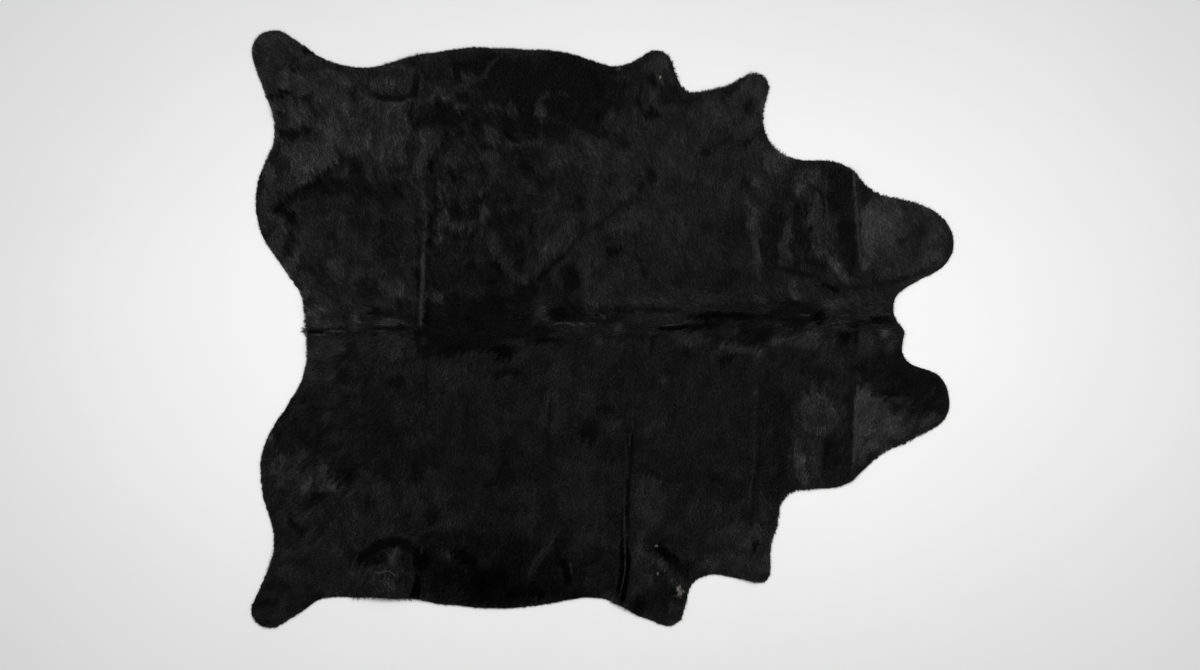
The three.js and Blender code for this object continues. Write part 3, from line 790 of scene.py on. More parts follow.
        (330, -705, 44, 22, 0, 0.7), (216, -612, 34, 18, 0, 0.35), (298, -602, 30, 20, 0, 0.3),
    ],
    "right shoulder": [
        (530, -300, 36, 120, 0, -0.5), (645, -255, 72, 62, -8, 0.95), (650, -196, 24, 8, 0, 1.2),
        (625, -400, 30, 60, 0, 0.45), (592, -410, 15, 62, 6, 1.3), (700, -385, 46, 76, 0, -0.55),
        (690, -440, 40, 24, 0, -0.2), (738, -310, 12, 22, 0, -0.7), (740, -245, 19, 56, 0, -0.6),
        (560, -110, 50, 24, 0, -0.35), (650, -140, 60, 26, 0, -0.25), (590, -178, 36, 18, 10, -0.35),
        (712, -265, 14, 44, 0, 0.0), (692, -168, 28, 14, 0, 0.6), (574, -270, 18, 30, 0, 0.2),
        (692, -372, 36, 46, 0, -0.5),
    ],
    "right neck": [
        (900, -125, 90, 50, -10, -0.9), (985, -190, 44, 60, 0, -0.65), (900, -262, 16, 24, 0, 0.5),
        (905, -302, 20, 26, 0, 0.6), (810, -290, 50, 90, -20, 1.25), (784, -255, 22, 90, 0, 1.35),
        (860, -290, 28, 44, -15, 1.25), (770, -360, 24, 34, 0, 1.2), (838, -350, 15, 20, 0, 0.8),
        (886, -320, 18, 18, 0, 1.3), (772, -142, 14, 10, 0, 0.6), (792, -172, 14, 14, 0, 0.7),
        (867, -190, 22, 15, 0, -1.8), (930, -208, 24, 10, -45, -1.1), (885, -214, 20, 14, 0, 0.35),
        (930, -280, 24, 22, 0, 0.7), (975, -275, 36, 20, 20, 1.1), (993, -176, 4, 8, 0, 1.5),
        (922, -226, 22, 12, -35, 0.2), (766, -404, 26, 12, 25, 0.9),
    ],
}
paintedLightLines = [
    # stops, width, path
    # along the spine, from the tail
    (-3.2, 10, [(-884, -7), (-862, -7), (-840, -5)]),
    (-1.4, 7, [(-845, -1), (-800, 0), (-765, 3)]),
    (-1.2, 10, [(-700, 3), (-640, 3), (-585, 4), (-560, 3)]),
    (-1.6, 7, [(-700, -16), (-678, -15)]),
    (-1.0, 9, [(-690, 46), (-660, 48), (-600, 45)]),
    (-1.3, 5, [(-152, 27), (-110, 27), (-62, 25)]),
    (0.5, 18, [(-40, 76), (0, 82), (60, 86), (150, 88), (245, 84)]),
    (-0.9, 13, [(15, 58), (120, 57), (235, 58)]),
    (-0.5, 18, [(285, 68), (350, 67), (450, 66), (510, 64)]),
    (-1.6, 12, [(262, 12), (300, 16), (345, 14)]),
    (-2.1, 7, [(330, 26), (368, 22)]),
    (-1.8, 7, [(250, 36), (266, 45), (284, 34)]),
    (-4.2, 11, [(156, -3), (185, 2), (220, 5), (262, 11)]),
    (-3.3, 18, [(270, 35), (300, 41), (345, 42), (400, 38), (450, 36)]),
    (-1.5, 18, [(430, 40), (470, 38), (515, 40)]),
    (-1.3, 8, [(140, -20), (148, -26), (176, -14)]),
    (-1.8, 8, [(150, -20), (147, -50), (145, -78)]),
    (-2.6, 9, [(758, 2), (757, -42)]),
    # loin fold and left flank
    (0.75, 13, [(-545, 6), (-544, 60), (-543, 108)]),
    (0.9, 10, [(-541, 108), (-539, 180), (-538, 235)]),
    (0.45, 10, [(-538, 235), (-536, 300), (-534, 348)]),
    (0.8, 10, [(-541, 358), (-538, 402)]),
    (-1.2, 10, [(-557, 0), (-556, 90)]),
    (-2.0, 8, [(-555, 90), (-555, 188)]),
    (-1.1, 10, [(-554, 190), (-553, 258)]),
    (-2.0, 13, [(-527, 14), (-526, 96)]),
    (-1.7, 10, [(-529, 118), (-527, 152)]),
    (-1.8, 11, [(-524, 182), (-523, 228)]),
    (-2.4, 13, [(-522, 238), (-521, 280)]),
    (-1.9, 11, [(-521, 288), (-519, 350)]),
    (-1.5, 11, [(-510, 372), (-507, 402)]),
    (-1.1, 10, [(-504, 402), (-503, 460)]),
    (-2.0, 11, [(-515, 466), (-513, 508)]),
    (-1.2, 20, [(-565, 696), (-563, 735), (-561, 768)]),
    (-1.2, 13, [(-685, 706), (-655, 695), (-625, 691), (-590, 696), (-560, 704)]),
    (1.5, 8, [(-744, 745), (-724, 706), (-684, 685), (-634, 675), (-574, 688)]),
    (0.5, 8, [(-548, 700), (-546, 760)]),
    (-0.7, 9, [(-531, -110), (-528, -190), (-534, -270)]),
    (0.35, 12, [(-305, 822), (-340, 790), (-355, 760), (-392, 740), (-440, 716), (-500, 702)]),
    (0.5, 11, [(-198, 676), (-180, 700)]),
    (0.7, 9, [(-142, 708), (-120, 712), (-101, 694)]),
    (-1.7, 12, [(-205, 142), (-150, 195), (-108, 232)]),
    (-1.1, 9, [(-112, 228), (-78, 268)]),
    (-0.6, 11, [(-85, 262), (-59, 288), (1, 328), (40, 355)]),
    (-0.8, 10, [(98, 405), (121, 438), (150, 486)]),
    (-1.3, 16, [(-297, 602), (-282, 576), (-250, 560)]),
    (0.6, 11, [(-303, 572), (-270, 552), (-220, 556), (-190, 564)]),
    (-1.2, 11, [(-250, 600), (-215, 588), (-196, 572)]),
    # buckle and pucker at the right belly
    (-2.0, 30, [(-741, -707), (-722, -684), (-700, -667), (-672, -649), (-645, -638), (-615, -637),
                (-590, -648), (-562, -664)]),
    (-3.6, 13, [(-558, -734), (-562, -770), (-566, -804)]),
    (-3.6, 11, [(-557, -748), (-556, -780), (-555, -804)]),
    (-3.6, 11, [(-561, -765), (-568, -786), (-574, -804)]),
    (0.0, 24, [(-128, -600), (-160, -650), (-200, -692), (-226, -752)]),
    (-2.2, 9, [(-144, -622), (-140, -664), (-124, -690)]),
    (-3.4, 16, [(-126, -690), (-112, -720), (-104, -768)]),
    # rib fold
    (-0.9, 6, [(98, 300), (98, 230), (104, 185)]),
    (-0.5, 5, [(97, -200), (95, -290)]),
    (-1.0, 5, [(76, -300), (75, -360)]),
    (-1.9, 9, [(86, -310), (84, -360), (81, -410), (76, -455)]),
    (-2.7, 10, [(75, -435), (74, -490), (72, -560), (73, -615)]),
    (-1.6, 8, [(73, -610), (74, -665)]),
    (-4.4, 13, [(74, -655), (75, -692), (70, -738)]),
    (-4.4, 16, [(71, -728), (64, -770), (56, -822)]),
    (-1.5, 9, [(60, -520), (56, -600), (58, -640)]),
    (-3.8, 11, [(58, -615), (60, -660), (58, -700), (52, -745), (44, -800)]),
    # shoulder fold and elbow
    (-0.85, 9, [(470, -215), (470, -300), (466, -400), (452, -490), (448, -540), (444, -585)]),
    (0.2, 9, [(457, -230), (455, -320), (452, -400), (438, -500), (435, -580)]),
    (-0.95, 8, [(436, -588), (458, -578), (480, -584), (505, -576), (522, -572)]),
    # nape and neck
    (-1.0, 12, [(520, 185), (575, 172), (640, 160), (665, 135)]),
    (-1.9, 11, [(655, 140), (685, 124), (715, 119)]),
    (-0.9, 10, [(715, 119), (780, 128), (860, 141), (930, 162), (990, 184)]),
    (-0.9, 6, [(808, 105), (809, 150), (812, 184)]),
    (-0.7, 6, [(822, 110), (823, 160)]),
    (-1.2, 7, [(618, 432), (652, 408), (664, 368), (660, 330)]),
    (-0.9, 7, [(596, 392), (612, 350), (600, 335)]),
    (1.2, 15, [(590, 422), (612, 402), (628, 378)]),
    (1.0, 11, [(750, 478), (754, 420), (760, 340), (765, 270), (769, 195)]),
    (1.4, 13, [(764, -165), (760, -230), (756, -300), (750, -395)]),
    # painted shade along fine partings on the right side
    (-1.1, 17, [(-938, -540), (-938, -580), (-918, -602), (-888, -606)]),
    (-0.8, 7, [(-405, -200), (-404, -280)]),
    (-0.8, 7, [(-160, -205), (-160, -290)]),
    (-1.7, 9, [(-322, -162), (-318, -130), (-290, -126), (-262, -134), (-240, -128)]),
    (-0.6, 7, [(-300, -112), (-250, -118), (-212, -108)]),
]
# Painted light between the marks: the hair parts into small tufts, each painted brighter or darker as if
# turned to the light or away from it
tufting = {
    "rows": [(0.17, 58.0, 61), (0.27, 27.0, 62), (0.26, 12.0, 63)],   # stops, pitch, seed
    "crisp": 2.4,   # how sharply tufts stand against each other
    # painted shade in the gaps between tufts, and painted highlights on tips that shine: stops, pitch, seed
    "flecks": [(-0.45, 17.0, 66), (0.35, 15.0, 67)],
    "fleckFrom": 0.5, "fleckSoft": 0.2,
    "least": 0.3, "most": 2.0,   # shares of the usual
    # where there are more or fewer: x, y, reach, share of the usual
    "places": [
        (-820, 600, 260, 1.5), (-420, 430, 230, 1.6), (-800, 60, 170, 1.25), (-850, -430, 230, 1.35),
        (-150, 560, 200, 1.4), (850, 300, 140, 0.8), (820, -280, 170, 1.2), (620, 300, 140, 1.3),
        (640, -340, 130, 1.2), (-640, -740, 120, 1.4), (250, -330, 300, 0.6), (-300, -380, 260, 0.75),
        (260, 330, 260, 0.8), (300, 690, 200, 0.9), (-170, 740, 150, -0.1), (-380, 10, 120, 0.5),
        (930, -150, 110, 0.6), (-400, 780, 90, 0.6), (720, 350, 70, 0.6),
    ],
}


def spread(table, x, y, usual):
    # a value that is the usual one except round the places in the table
    value = np.full(x.shape, usual)
    for px, py, reach, there in table:
        value = value + (there - usual) * np.exp(-(np.hypot(x - px, y - py) / reach) ** 2)
    return value


paintedLightForm = {
    "gain": 1.12,         # the locks cross and shade each other, which evens out what is painted here
    "zoneSoft": 0.22, "patchSoft": 0.45,   # shares of the short side over which an edge fades
    "patchSoftMost": 4.5,
    "patchMargin": 60.0,  # room in a patch's window for the sway
    "lineLoose": 0.3,     # share of the sway that a line follows
}
# Painted light: hair at the cut edge stands up a little and takes light off the floor, so it is painted
# brighter there, more in some places than in others
edgeLight = {"stops": 0.8, "reach": 9.0, "pitch": 70.0, "seed": 64}

# painted sheen, shade and highlights, with some random tone, laid into the hair's colour
paintedLightAndTone = np.zeros(gridX.shape)
for row in paintedLightZones:
    short, stops = row[3], row[5]
    paintedLightAndTone += (stops - paintedLightAndTone) * patchCover(broadX, broadY, row, paintedLightForm["zoneSoft"] * short)
for row in (row for group in paintedLightPatches.values() for row in group):
    px, py, long, short, _, stops = row
    part = windowRound(px, px, py, py, max(long, short) + paintedLightForm["patchMargin"])
    soft = min(paintedLightForm["patchSoftMost"], paintedLightForm["patchSoft"] * short)
    paintedLightAndTone[part] += (stops - paintedLightAndTone[part]) * patchCover(swayX[part], swayY[part], row, soft)
for stops, width, path in paintedLightLines:
    part = strokeWindow(path, width)
    paintedLightAndTone[part] += (stops - paintedLightAndTone[part]) * strokeCover(part, path, width, paintedLightForm["lineLoose"])
# painted light of the tufts: brighter or darker as they turn to or from the light
tufts = sum(stops * np.tanh(tufting["crisp"] * softNoise(swayX, swayY, pitch, seed))
            for stops, pitch, seed in tufting["rows"])
ruffle = np.clip(spread(tufting["places"], gridX, gridY, 1.0), tufting["least"], tufting["most"])
paintedLightAndTone = paintedLightForm["gain"] * paintedLightAndTone + tufts * ruffle
# painted shade in gaps and painted highlights on shining tips
for stops, pitch, seed in tufting["flecks"]:
    peak = softNoise(swayX, swayY, pitch, seed) - tufting["fleckFrom"]
    paintedLightAndTone += stops * smooth(peak / tufting["fleckSoft"]) * ruffle
paintedLightAndTone += edgeLight["stops"] * np.exp(-(np.maximum(edgeDepth, 0.0) / edgeLight["reach"]) ** 2) * (
    0.5 + 0.5 * softNoise(gridX, gridY, edgeLight["pitch"], edgeLight["seed"]))
print("nap laid:", sum(map(len, paintedLightPatches.values())), "patches and", len(paintedLightLines), "lines")

# Hair that looks brighter is turned towards the light
lay = lay - np.radians(layForm["byNap"]) * laySide * np.tanh(paintedLightAndTone)
layX, layY = np.cos(lay), np.sin(lay)

# The skin, as a thin closed sheet on the solid's folds
skin = {
    "thickness": 2.5,
    "topStep": 11.0,
    "underStep": 18.0,
    "clear": 0.7,       # of a step, that points keep from the edge
    "edgeBulge": 0.5,   # the cut face stands out a little at half height
    "keepIn": 1.0,      # the coat's hairs overhang the skin's edge from here
}
hairSide, cutSide, fleshSide = 0, 1, 2   # the skin's materials, in order
skinTop = underside + skin["thickness"] + np.clip(crease, creaseForm["skinDeepest"], creaseForm["highest"])


def latticeInside(step, clear):
    # points in even triangles, clear of the edge
    rowStep = step * math.sqrt(0.75)
    x, y = np.meshgrid(np.arange(low[0], high[0], step), np.arange(low[1], high[1], rowStep))
    x = x + (np.arange(len(x)) % 2)[:, None] * step / 2
    points = np.c_[x.ravel(), y.ravel()]
    return points[sample(edgeDepth, *points.T) > clear]


def trianglesOver(points, border):
    # triangles that fill the border, which is the first points in order
    sides = [(i, (i + 1) % border) for i in range(border)]
    insideOnly, joinWithin = 1, 1e-4
    spots = [Vector(p) for p in points]
    _, _, faces, origins, _, _ = delaunay_2d_cdt(spots, sides, [], insideOnly, joinWithin)
    first = [origin[0] for origin in origins]
    return [tuple(first[i] for i in face) for face in faces]


bakeMap = {"margin": 0.01, "halfWidth": 0.49, "left": 0.005, "right": 0.505}   # shares of the map


def planarMap(mesh, halves=None):
    # flat map from above for the bake; halves puts faces of those materials beside the rest
    layer = mesh.uv_layers.new(name="OFBake")
    spots = np.empty(len(mesh.vertices) * 3)
    mesh.vertices.foreach_get("co", spots)
    spots = spots.reshape(-1, 3)[:, :2]
    corner, size = spots.min(0), np.ptp(spots, axis=0)
    flat = bakeMap["margin"] + (1 - 2 * bakeMap["margin"]) * (spots - corner) / size
    loops = np.empty(len(mesh.loops), int)
    mesh.loops.foreach_get("vertex_index", loops)
    uv = flat[loops]
    if halves:
        counts = np.empty(len(mesh.polygons), int)
        kinds = np.empty(len(mesh.polygons), int)
        mesh.polygons.foreach_get("loop_total", counts)
        mesh.polygons.foreach_get("material_index", kinds)
        away = np.repeat(np.isin(kinds, halves), counts)
        start = np.where(away, bakeMap["right"], bakeMap["left"])
        uv = np.c_[uv[:, 0] * bakeMap["halfWidth"] + start, uv[:, 1]]
    layer.data.foreach_set("uv", uv.ravel().astype(np.float32))


def addValues(mesh, name, values):
    layer = mesh.attributes.new(name, "FLOAT", "POINT")
    layer.data.foreach_set("value", np.ascontiguousarray(values, np.float32))


def makeSkin():
    rim = edgeLine - edgeOut * skin["keepIn"]
    border = len(rim)
    topPoints, underPoints = (np.vstack([rim, latticeInside(step, skin["clear"] * step)])
                              for step in (skin["topStep"], skin["underStep"]))
    topFaces = trianglesOver(topPoints, border)
    underFaces = trianglesOver(underPoints, border)
    topZ = sample(skinTop, *topPoints.T)
    underZ = sample(underside, *underPoints.T)
    bulge = rim + edgeOut * skin["edgeBulge"]
    bulgeZ = (topZ[:border] + underZ[:border]) / 2
    verts = np.vstack([np.c_[topPoints, topZ], np.c_[underPoints, underZ], np.c_[bulge, bulgeZ]]) * mm
    under, middle = len(topPoints), len(topPoints) + len(underPoints)
    faces = list(topFaces) + [tuple(under + i for i in reversed(face)) for face in underFaces]
    kinds = [hairSide] * len(topFaces) + [fleshSide] * len(underFaces)
    for i in range(border):
        k = (i + 1) % border
        faces += [(i, middle + i, middle + k, k), (middle + i, under + i, under + k, middle + k)]
        kinds += [cutSide] * 2
    mesh = bpy.data.meshes.new("cowhideSkin")
    mesh.from_pydata(verts.tolist(), [], faces)
    mesh.polygons.foreach_set("material_index", kinds)
    mesh.polygons.foreach_set("use_smooth", [True] * len(faces))
    x, y = verts[:, 0] / mm, verts[:, 1] / mm
    addValues(mesh, "paintedLightAndTone", sample(paintedLightAndTone, x, y))
    planarMap(mesh, halves=[fleshSide])
    mesh.update()
    piece = bpy.data.objects.new("cowhideSkin", mesh)
    scene.collection.objects.link(piece)
    return piece


cowhideSkin = makeSkin()
print("skin made:", len(cowhideSkin.data.polygons), "faces")

# The coat is closed slivers of hair, each a lock that rises from the skin and lies over
lockForm = {
    "rootDepth": 0.4,         # in the skin
    "middle": 0.48,           # how far along a lock is widest
    "midLift": (0.9, 2.2),    # over the skin, there
    "tipLift": (0.6, 2.8),
    "roll": 26.0,             # degrees
    "cuts": (0.22, 0.3, 0.4, 0.5, 0.6, 0.7, 0.8, 0.9, 1.0),   # lengths that are tried, as shares
    "shortest": 0.15, "narrowest": 0.5,
    "parting": -1.3,          # no lock lies across a crease that is deeper than this
    "pressed": 0.75, "pressedAt": 2.2,   # how far a crease of that depth presses the hair down
    "lowest": 0.2,            # over the floor
}
lockCorners = 5   # root, two sides and a back halfway, tip


def meshOfLocks(name, root, middle, tip, across, upward, width, crown, values):
    count = len(root)
    corners = np.empty((count, lockCorners, 3))
    corners[:, 0] = root
    corners[:, 1] = middle + across * (width / 2)[:, None]
    corners[:, 2] = middle - across * (width / 2)[:, None]
    corners[:, 3] = middle + upward * crown[:, None]
    corners[:, 4] = tip
    corners[:, :, 2] = np.maximum(corners[:, :, 2], lockForm["lowest"])
    pattern = np.array([(0, 1, 2), (0, 3, 1), (0, 2, 3), (4, 2, 1), (4, 1, 3), (4, 3, 2)])
    sides = corners[0][pattern]
    if np.einsum("ij,ij->i", sides[:, 0], np.cross(sides[:, 1], sides[:, 2])).sum() < 0:
        pattern = pattern[:, ::-1]
    faces = (pattern[None] + lockCorners * np.arange(count)[:, None, None]).reshape(-1)
    mesh = bpy.data.meshes.new(name)
    mesh.vertices.add(count * lockCorners)
    mesh.vertices.foreach_set("co", (corners * mm).astype(np.float32).ravel())
    mesh.loops.add(len(faces))
    mesh.loops.foreach_set("vertex_index", faces.astype(np.int32))
    mesh.polygons.add(len(faces) // 3)
    mesh.polygons.foreach_set("loop_start", np.arange(0, len(faces), 3, dtype=np.int32))
    mesh.polygons.foreach_set("use_smooth", np.ones(len(faces) // 3, bool))
    mesh.update(calc_edges=True)
    for key, each in values.items():
        addValues(mesh, key, each.ravel())
    planarMap(mesh)
    piece = bpy.data.objects.new(name, mesh)
    scene.collection.objects.link(piece)
    return piece


def layLocks(x, y, turn, length, width, overhang, rng, liftShare):
    # where each lock's root, middle and tip come to lie
    dx, dy = sample(layX, x, y), sample(layY, x, y)
    c, s = np.cos(turn), np.sin(turn)
    dx, dy = dx * c - dy * s, dx * s + dy * c
    norm = np.hypot(dx, dy)
    dx, dy = dx / norm, dy / norm
    # shortened to end at the cut edge, or on this side of a deep crease
    keep = np.full(x.shape, lockForm["shortest"])
    going = np.ones(x.shape, bool)
    for share in lockForm["cuts"]:
        aheadX, aheadY = x + dx * length * share, y + dy * length * share
        going &= sample(crease, aheadX, aheadY) > lockForm["parting"]
        keep = np.where(going & (sample(edgeDepth, aheadX, aheadY) > -overhang), share, keep)
    length = length * keep
    under = -sample(crease, x + dx * length * 0.5, y + dy * length * 0.5)
    lift = liftShare * (1 - np.clip(under / lockForm["pressedAt"], 0.0, 1.0) * lockForm["pressed"])
    midX, midY = x + dx * length * lockForm["middle"], y + dy * length * lockForm["middle"]
    tipX, tipY = x + dx * length, y + dy * length
    rootZ = sample(skinTop, x, y) - lockForm["rootDepth"]
    midZ = sample(skinTop, midX, midY) + rng.uniform(*lockForm["midLift"], x.shape) * lift
    tipZ = sample(skinTop, tipX, tipY) + rng.uniform(*lockForm["tipLift"], x.shape) * lift
    root, middle, tip = np.c_[x, y, rootZ], np.c_[midX, midY, midZ], np.c_[tipX, tipY, tipZ]
    run = tip - root
    run /= np.linalg.norm(run, axis=1)[:, None]
    flat = np.c_[-dy, dx, np.zeros(len(x))]
    up = np.cross(run, flat)
    up *= np.sign(up[:, 2:3])
    roll = np.radians(rng.normal(0.0, lockForm["roll"], len(x)))[:, None]
    across = flat * np.cos(roll) + up * np.sin(roll)
    upward = up * np.cos(roll) - flat * np.sin(roll)
    narrow = lockForm["narrowest"]
    return root, middle, tip, across, upward, width * (narrow + (1 - narrow) * keep)


toneForm = {
    "towardsTip": 0.6,   # where on a lock, from its middle, its own tone is read
    "streak": 0.14,      # stops that a brush's streaks add
    "whole": 0.3,        # share of the tone that is one all over a lock
}


def toneOf(root, middle, tip, rng, single, white=0.0):
    # a lock is partly one tone, and for the rest takes the painted light and tone where each corner lies
    reach, part = toneForm["towardsTip"], toneForm["whole"]
    x, y = ((1 - reach) * middle + reach * tip)[:, :2].T
    own = toneForm["streak"] * sample(streaks, x, y) + rng.normal(0.0, single, len(x))
    whole = sample(paintedLightAndTone, x, y) + own * sample(ruffle, x, y)
    local = np.stack([sample(paintedLightAndTone, *place[:, :2].T) for place in (root, middle, middle, middle, tip)], axis=1)
    tone = part * whole[:, None] + (1 - part) * (local + (whole - sample(paintedLightAndTone, x, y))[:, None])
    return {"paintedLightAndTone": tone, "whiteHair": np.broadcast_to(np.reshape(white, (-1, 1)), tone.shape)}


def varied(rng, count, swing, least, most):
    # shares of the usual size
    return np.clip(rng.normal(1.0, swing, count), least, most)


# How far hairs pass the cut edge
pastEdge = {
    "usual": 4.5,
    # places where they pass it more or less far: x, y, reach, distance
    "places": [
        (-890, 0, 120, 8.0), (-894, -2, 15, 22.0), (370, 730, 130, 9.0), (-640, -805, 80, 5.0),
        (900, 0, 60, 8.0), (920, -325, 60, 9.0), (580, -485, 60, 9.0), (520, -600, 70, 8.0),
        (850, 400, 60, 8.0), (-250, 835, 160, 6.0), (-960, 560, 90, 7.0),
    ],
}

# The short hair that covers the hide, in bands from tail to neck
coat = {
    "seed": 91,
    "bands": ("Tail", "Loin", "Ribs", "Shoulder", "Neck"),
    "spacing": 4.85,
    "clear": 1.0,            # of the edge
    "length": 19.0, "lengthVaries": (0.22, 0.5, 1.6),   # spread, least and most share
    "width": 4.0, "widthVaries": (0.3, 0.45, 1.7),
    "crown": 0.8, "crownShares": (0.7, 1.3),   # height of a lock's rounded back
    "edgeShares": (0.1, 1.0),   # of the way that hairs pass the edge
    "splay": 14.0,           # degrees that neighbours differ by
    "single": 0.10,          # and stops
    "lift": 1.0,             # share of a lock's usual height over the skin
    # where it is longer or shorter: x, y, reach, share of the usual length
    "lengths": [
        (-980, 790, 170, 0.62), (-980, -800, 170, 0.62), (150, 780, 120, 0.65), (460, 710, 120, 0.65),
        (190, -830, 120, 0.65), (460, -710, 120, 0.65), (940, 260, 160, 0.8), (930, -210, 160, 0.8),
        (-300, 780, 220, 1.15), (-300, -780, 220, 1.15),
    ],
}


def makeCoat():
    rng = np.random.default_rng(coat["seed"])
    spots = latticeInside(coat["spacing"], coat["clear"])
    spots = spots + rng.uniform(-0.5, 0.5, spots.shape) * coat["spacing"]
    spots = spots[sample(edgeDepth, *spots.T) > coat["clear"]]
    spots = spots[np.argsort(spots[:, 0], kind="stable")]
    x, y = spots.T
    count = len(x)
    usual = coat["length"] * spread(coat["lengths"], x, y, 1.0)
    length = usual * varied(rng, count, *coat["lengthVaries"])
    width = coat["width"] * varied(rng, count, *coat["widthVaries"])
    turn = np.radians(rng.normal(0.0, coat["splay"], count))
    overhang = spread(pastEdge["places"], x, y, pastEdge["usual"]) * rng.uniform(*coat["edgeShares"], count)
    locks = layLocks(x, y, turn, length, width, overhang, rng, coat["lift"])
    crown = coat["crown"] * rng.uniform(*coat["crownShares"], count)
    values = toneOf(*locks[:3], rng, coat["single"])
    pieces = []
    bounds = np.linspace(0, count, len(coat["bands"]) + 1).astype(int)
    for name, first, last in zip(coat["bands"], bounds[:-1], bounds[1:]):
        part = slice(first, last)
        bandValues = {key: each[part] for key, each in values.items()}
        pieces.append(meshOfLocks("coat" + name, *(each[part] for each in locks), crown[part], bandValues))
    return pieces


# Short fine hairs that stand out past the cut edge all the way round
fuzz = {
    "seed": 92,
    "spacing": 1.5,
    "rootsIn": (1.5, 6.0),      # from the edge
    "length": 12.0, "lengthVaries": (0.3, 0.4, 1.8),   # spread, least and most share
    "width": 1.3, "widthVaries": (0.3, 0.5, 1.6),
    "crown": 0.5,
    "turnedOut": (0.45, 1.0),   # share of the way from the lay of the hair to straight out
    "splay": 22.0,
    "single": 0.2,
    "lift": 0.8,                # they lie lower than the coat's
    "edgeShares": (0.15, 1.15), "edgeCurve": 1.4,   # few hairs pass the edge far
    # tufts that stand out of the edge: x, y, reach, hairs added, how far they pass the edge
    "tufts": [
        (-890, 8, 55, 60, 8.0), (-893, -3, 12, 34, 23.0), (-660, -803, 95, 110, 14.0),
        (-590, 812, 75, 80, 12.0), (215, 775, 50, 40, 11.0), (345, 724, 50, 45, 12.0),
        (468, 748, 40, 35, 11.0), (515, 550, 50, 45, 11.0), (935, 372, 50, 40, 11.0),
        (930, -325, 50, 45, 12.0), (580, -485, 40, 40, 12.0), (515, -610, 45, 45, 11.0),
        (50, -825, 30, 25, 10.0), (240, -845, 35, 25, 9.0), (-888, -40, 40, 30, 9.0),
        (-990, -675, 50, 40, 10.0), (-1003, -890, 30, 25, 9.0),
    ],
}


def makeFuzz():
    rng = np.random.default_rng(fuzz["seed"])
    share = np.arange(0, len(edgeLine), fuzz["spacing"] / edge["step"])
    standing = np.zeros(len(share))
    for px, py, reach, hairs, past in fuzz["tufts"]:
        near = np.flatnonzero(np.hypot(*(edgeLine - (px, py)).T) < reach)
        share = np.r_[share, rng.uniform(near.min(), near.max(), hairs)]
        standing = np.r_[standing, np.full(hairs, past)]
    i = share.astype(int)
    a = (share - i)[:, None]
    place = edgeLine[i] * (1 - a) + edgeLine[(i + 1) % len(edgeLine)] * a
    out = edgeOut[i]
    count = len(place)
    place = place - out * rng.uniform(*fuzz["rootsIn"], count)[:, None]
    x, y = place.T
    heading = np.arctan2(out[:, 1], out[:, 0]) - np.arctan2(sample(layY, x, y), sample(layX, x, y))
    heading = (heading + np.pi) % (2 * np.pi) - np.pi
    turn = heading * rng.uniform(*fuzz["turnedOut"], count)
    turn = turn + np.radians(rng.normal(0.0, fuzz["splay"], count))
    farthest = np.maximum(spread(pastEdge["places"], x, y, pastEdge["usual"]), standing)
    overhang = farthest * rng.uniform(*fuzz["edgeShares"], count) ** fuzz["edgeCurve"]
    length = np.maximum(fuzz["length"] * varied(rng, count, *fuzz["lengthVaries"]), overhang)
    width = fuzz["width"] * varied(rng, count, *fuzz["widthVaries"])
    locks = layLocks(x, y, turn, length, width, overhang, rng, fuzz["lift"])
    values = toneOf(*locks[:3], rng, fuzz["single"])
    return meshOfLocks("edgeFuzz", *locks, np.full(count, fuzz["crown"]), values)


# The few white hairs that the dye left pale, on the forelegs
whiteHairs = {
    "seed": 93,
    "length": 9.0, "width": 1.1, "shares": (0.7, 1.3), "crown": 0.4,
    "scatter": 0.5,           # of a mark's sides
    "paleness": (0.55, 1.0),
    "splay": 18.0,
    "single": 0.1,
    "lift": 1.5,              # they stand a little over the black ones
    "marks": [
        # x, y, long, short, hairs, how white
        (225, -773, 7, 12, 44, 0.8), (232, -786, 8, 10, 38, 0.75), (222, -794, 8, 2, 7, 0.35),
        (163, -645, 3, 2, 6, 0.9), (166, -728, 4, 2, 6, 0.9), (184, -717, 4, 3, 5, 0.3),
        (191, -710, 5, 3, 4, 0.2), (206, -747, 5, 4, 5, 0.22), (172, 750, 3, 4, 8, 1.0),
        (48, 776, 5, 4, 8, 0.35),
    ],
}


def makeWhiteHairs():
    rng = np.random.default_rng(whiteHairs["seed"])
    places, white = [], []
    for x, y, long, short, hairs, amount in whiteHairs["marks"]:
        places.append(np.array([x, y]) + rng.normal(0.0, whiteHairs["scatter"], (hairs, 2)) * (long, short))
        white.append(amount * rng.uniform(*whiteHairs["paleness"], hairs))
    x, y = np.vstack(places).T
    count = len(x)
    length = whiteHairs["length"] * rng.uniform(*whiteHairs["shares"], count)
    width = whiteHairs["width"] * rng.uniform(*whiteHairs["shares"], count)
    turn = np.radians(rng.normal(0.0, whiteHairs["splay"], count))
    locks = layLocks(x, y, turn, length, width, np.zeros(count), rng, coat["lift"])
    for place in locks[1:3]:
        place[:, 2] += whiteHairs["lift"]
    values = toneOf(*locks[:3], rng, whiteHairs["single"], np.concatenate(white))
    return meshOfLocks("whiteHairs", *locks, np.full(count, whiteHairs["crown"]), values)
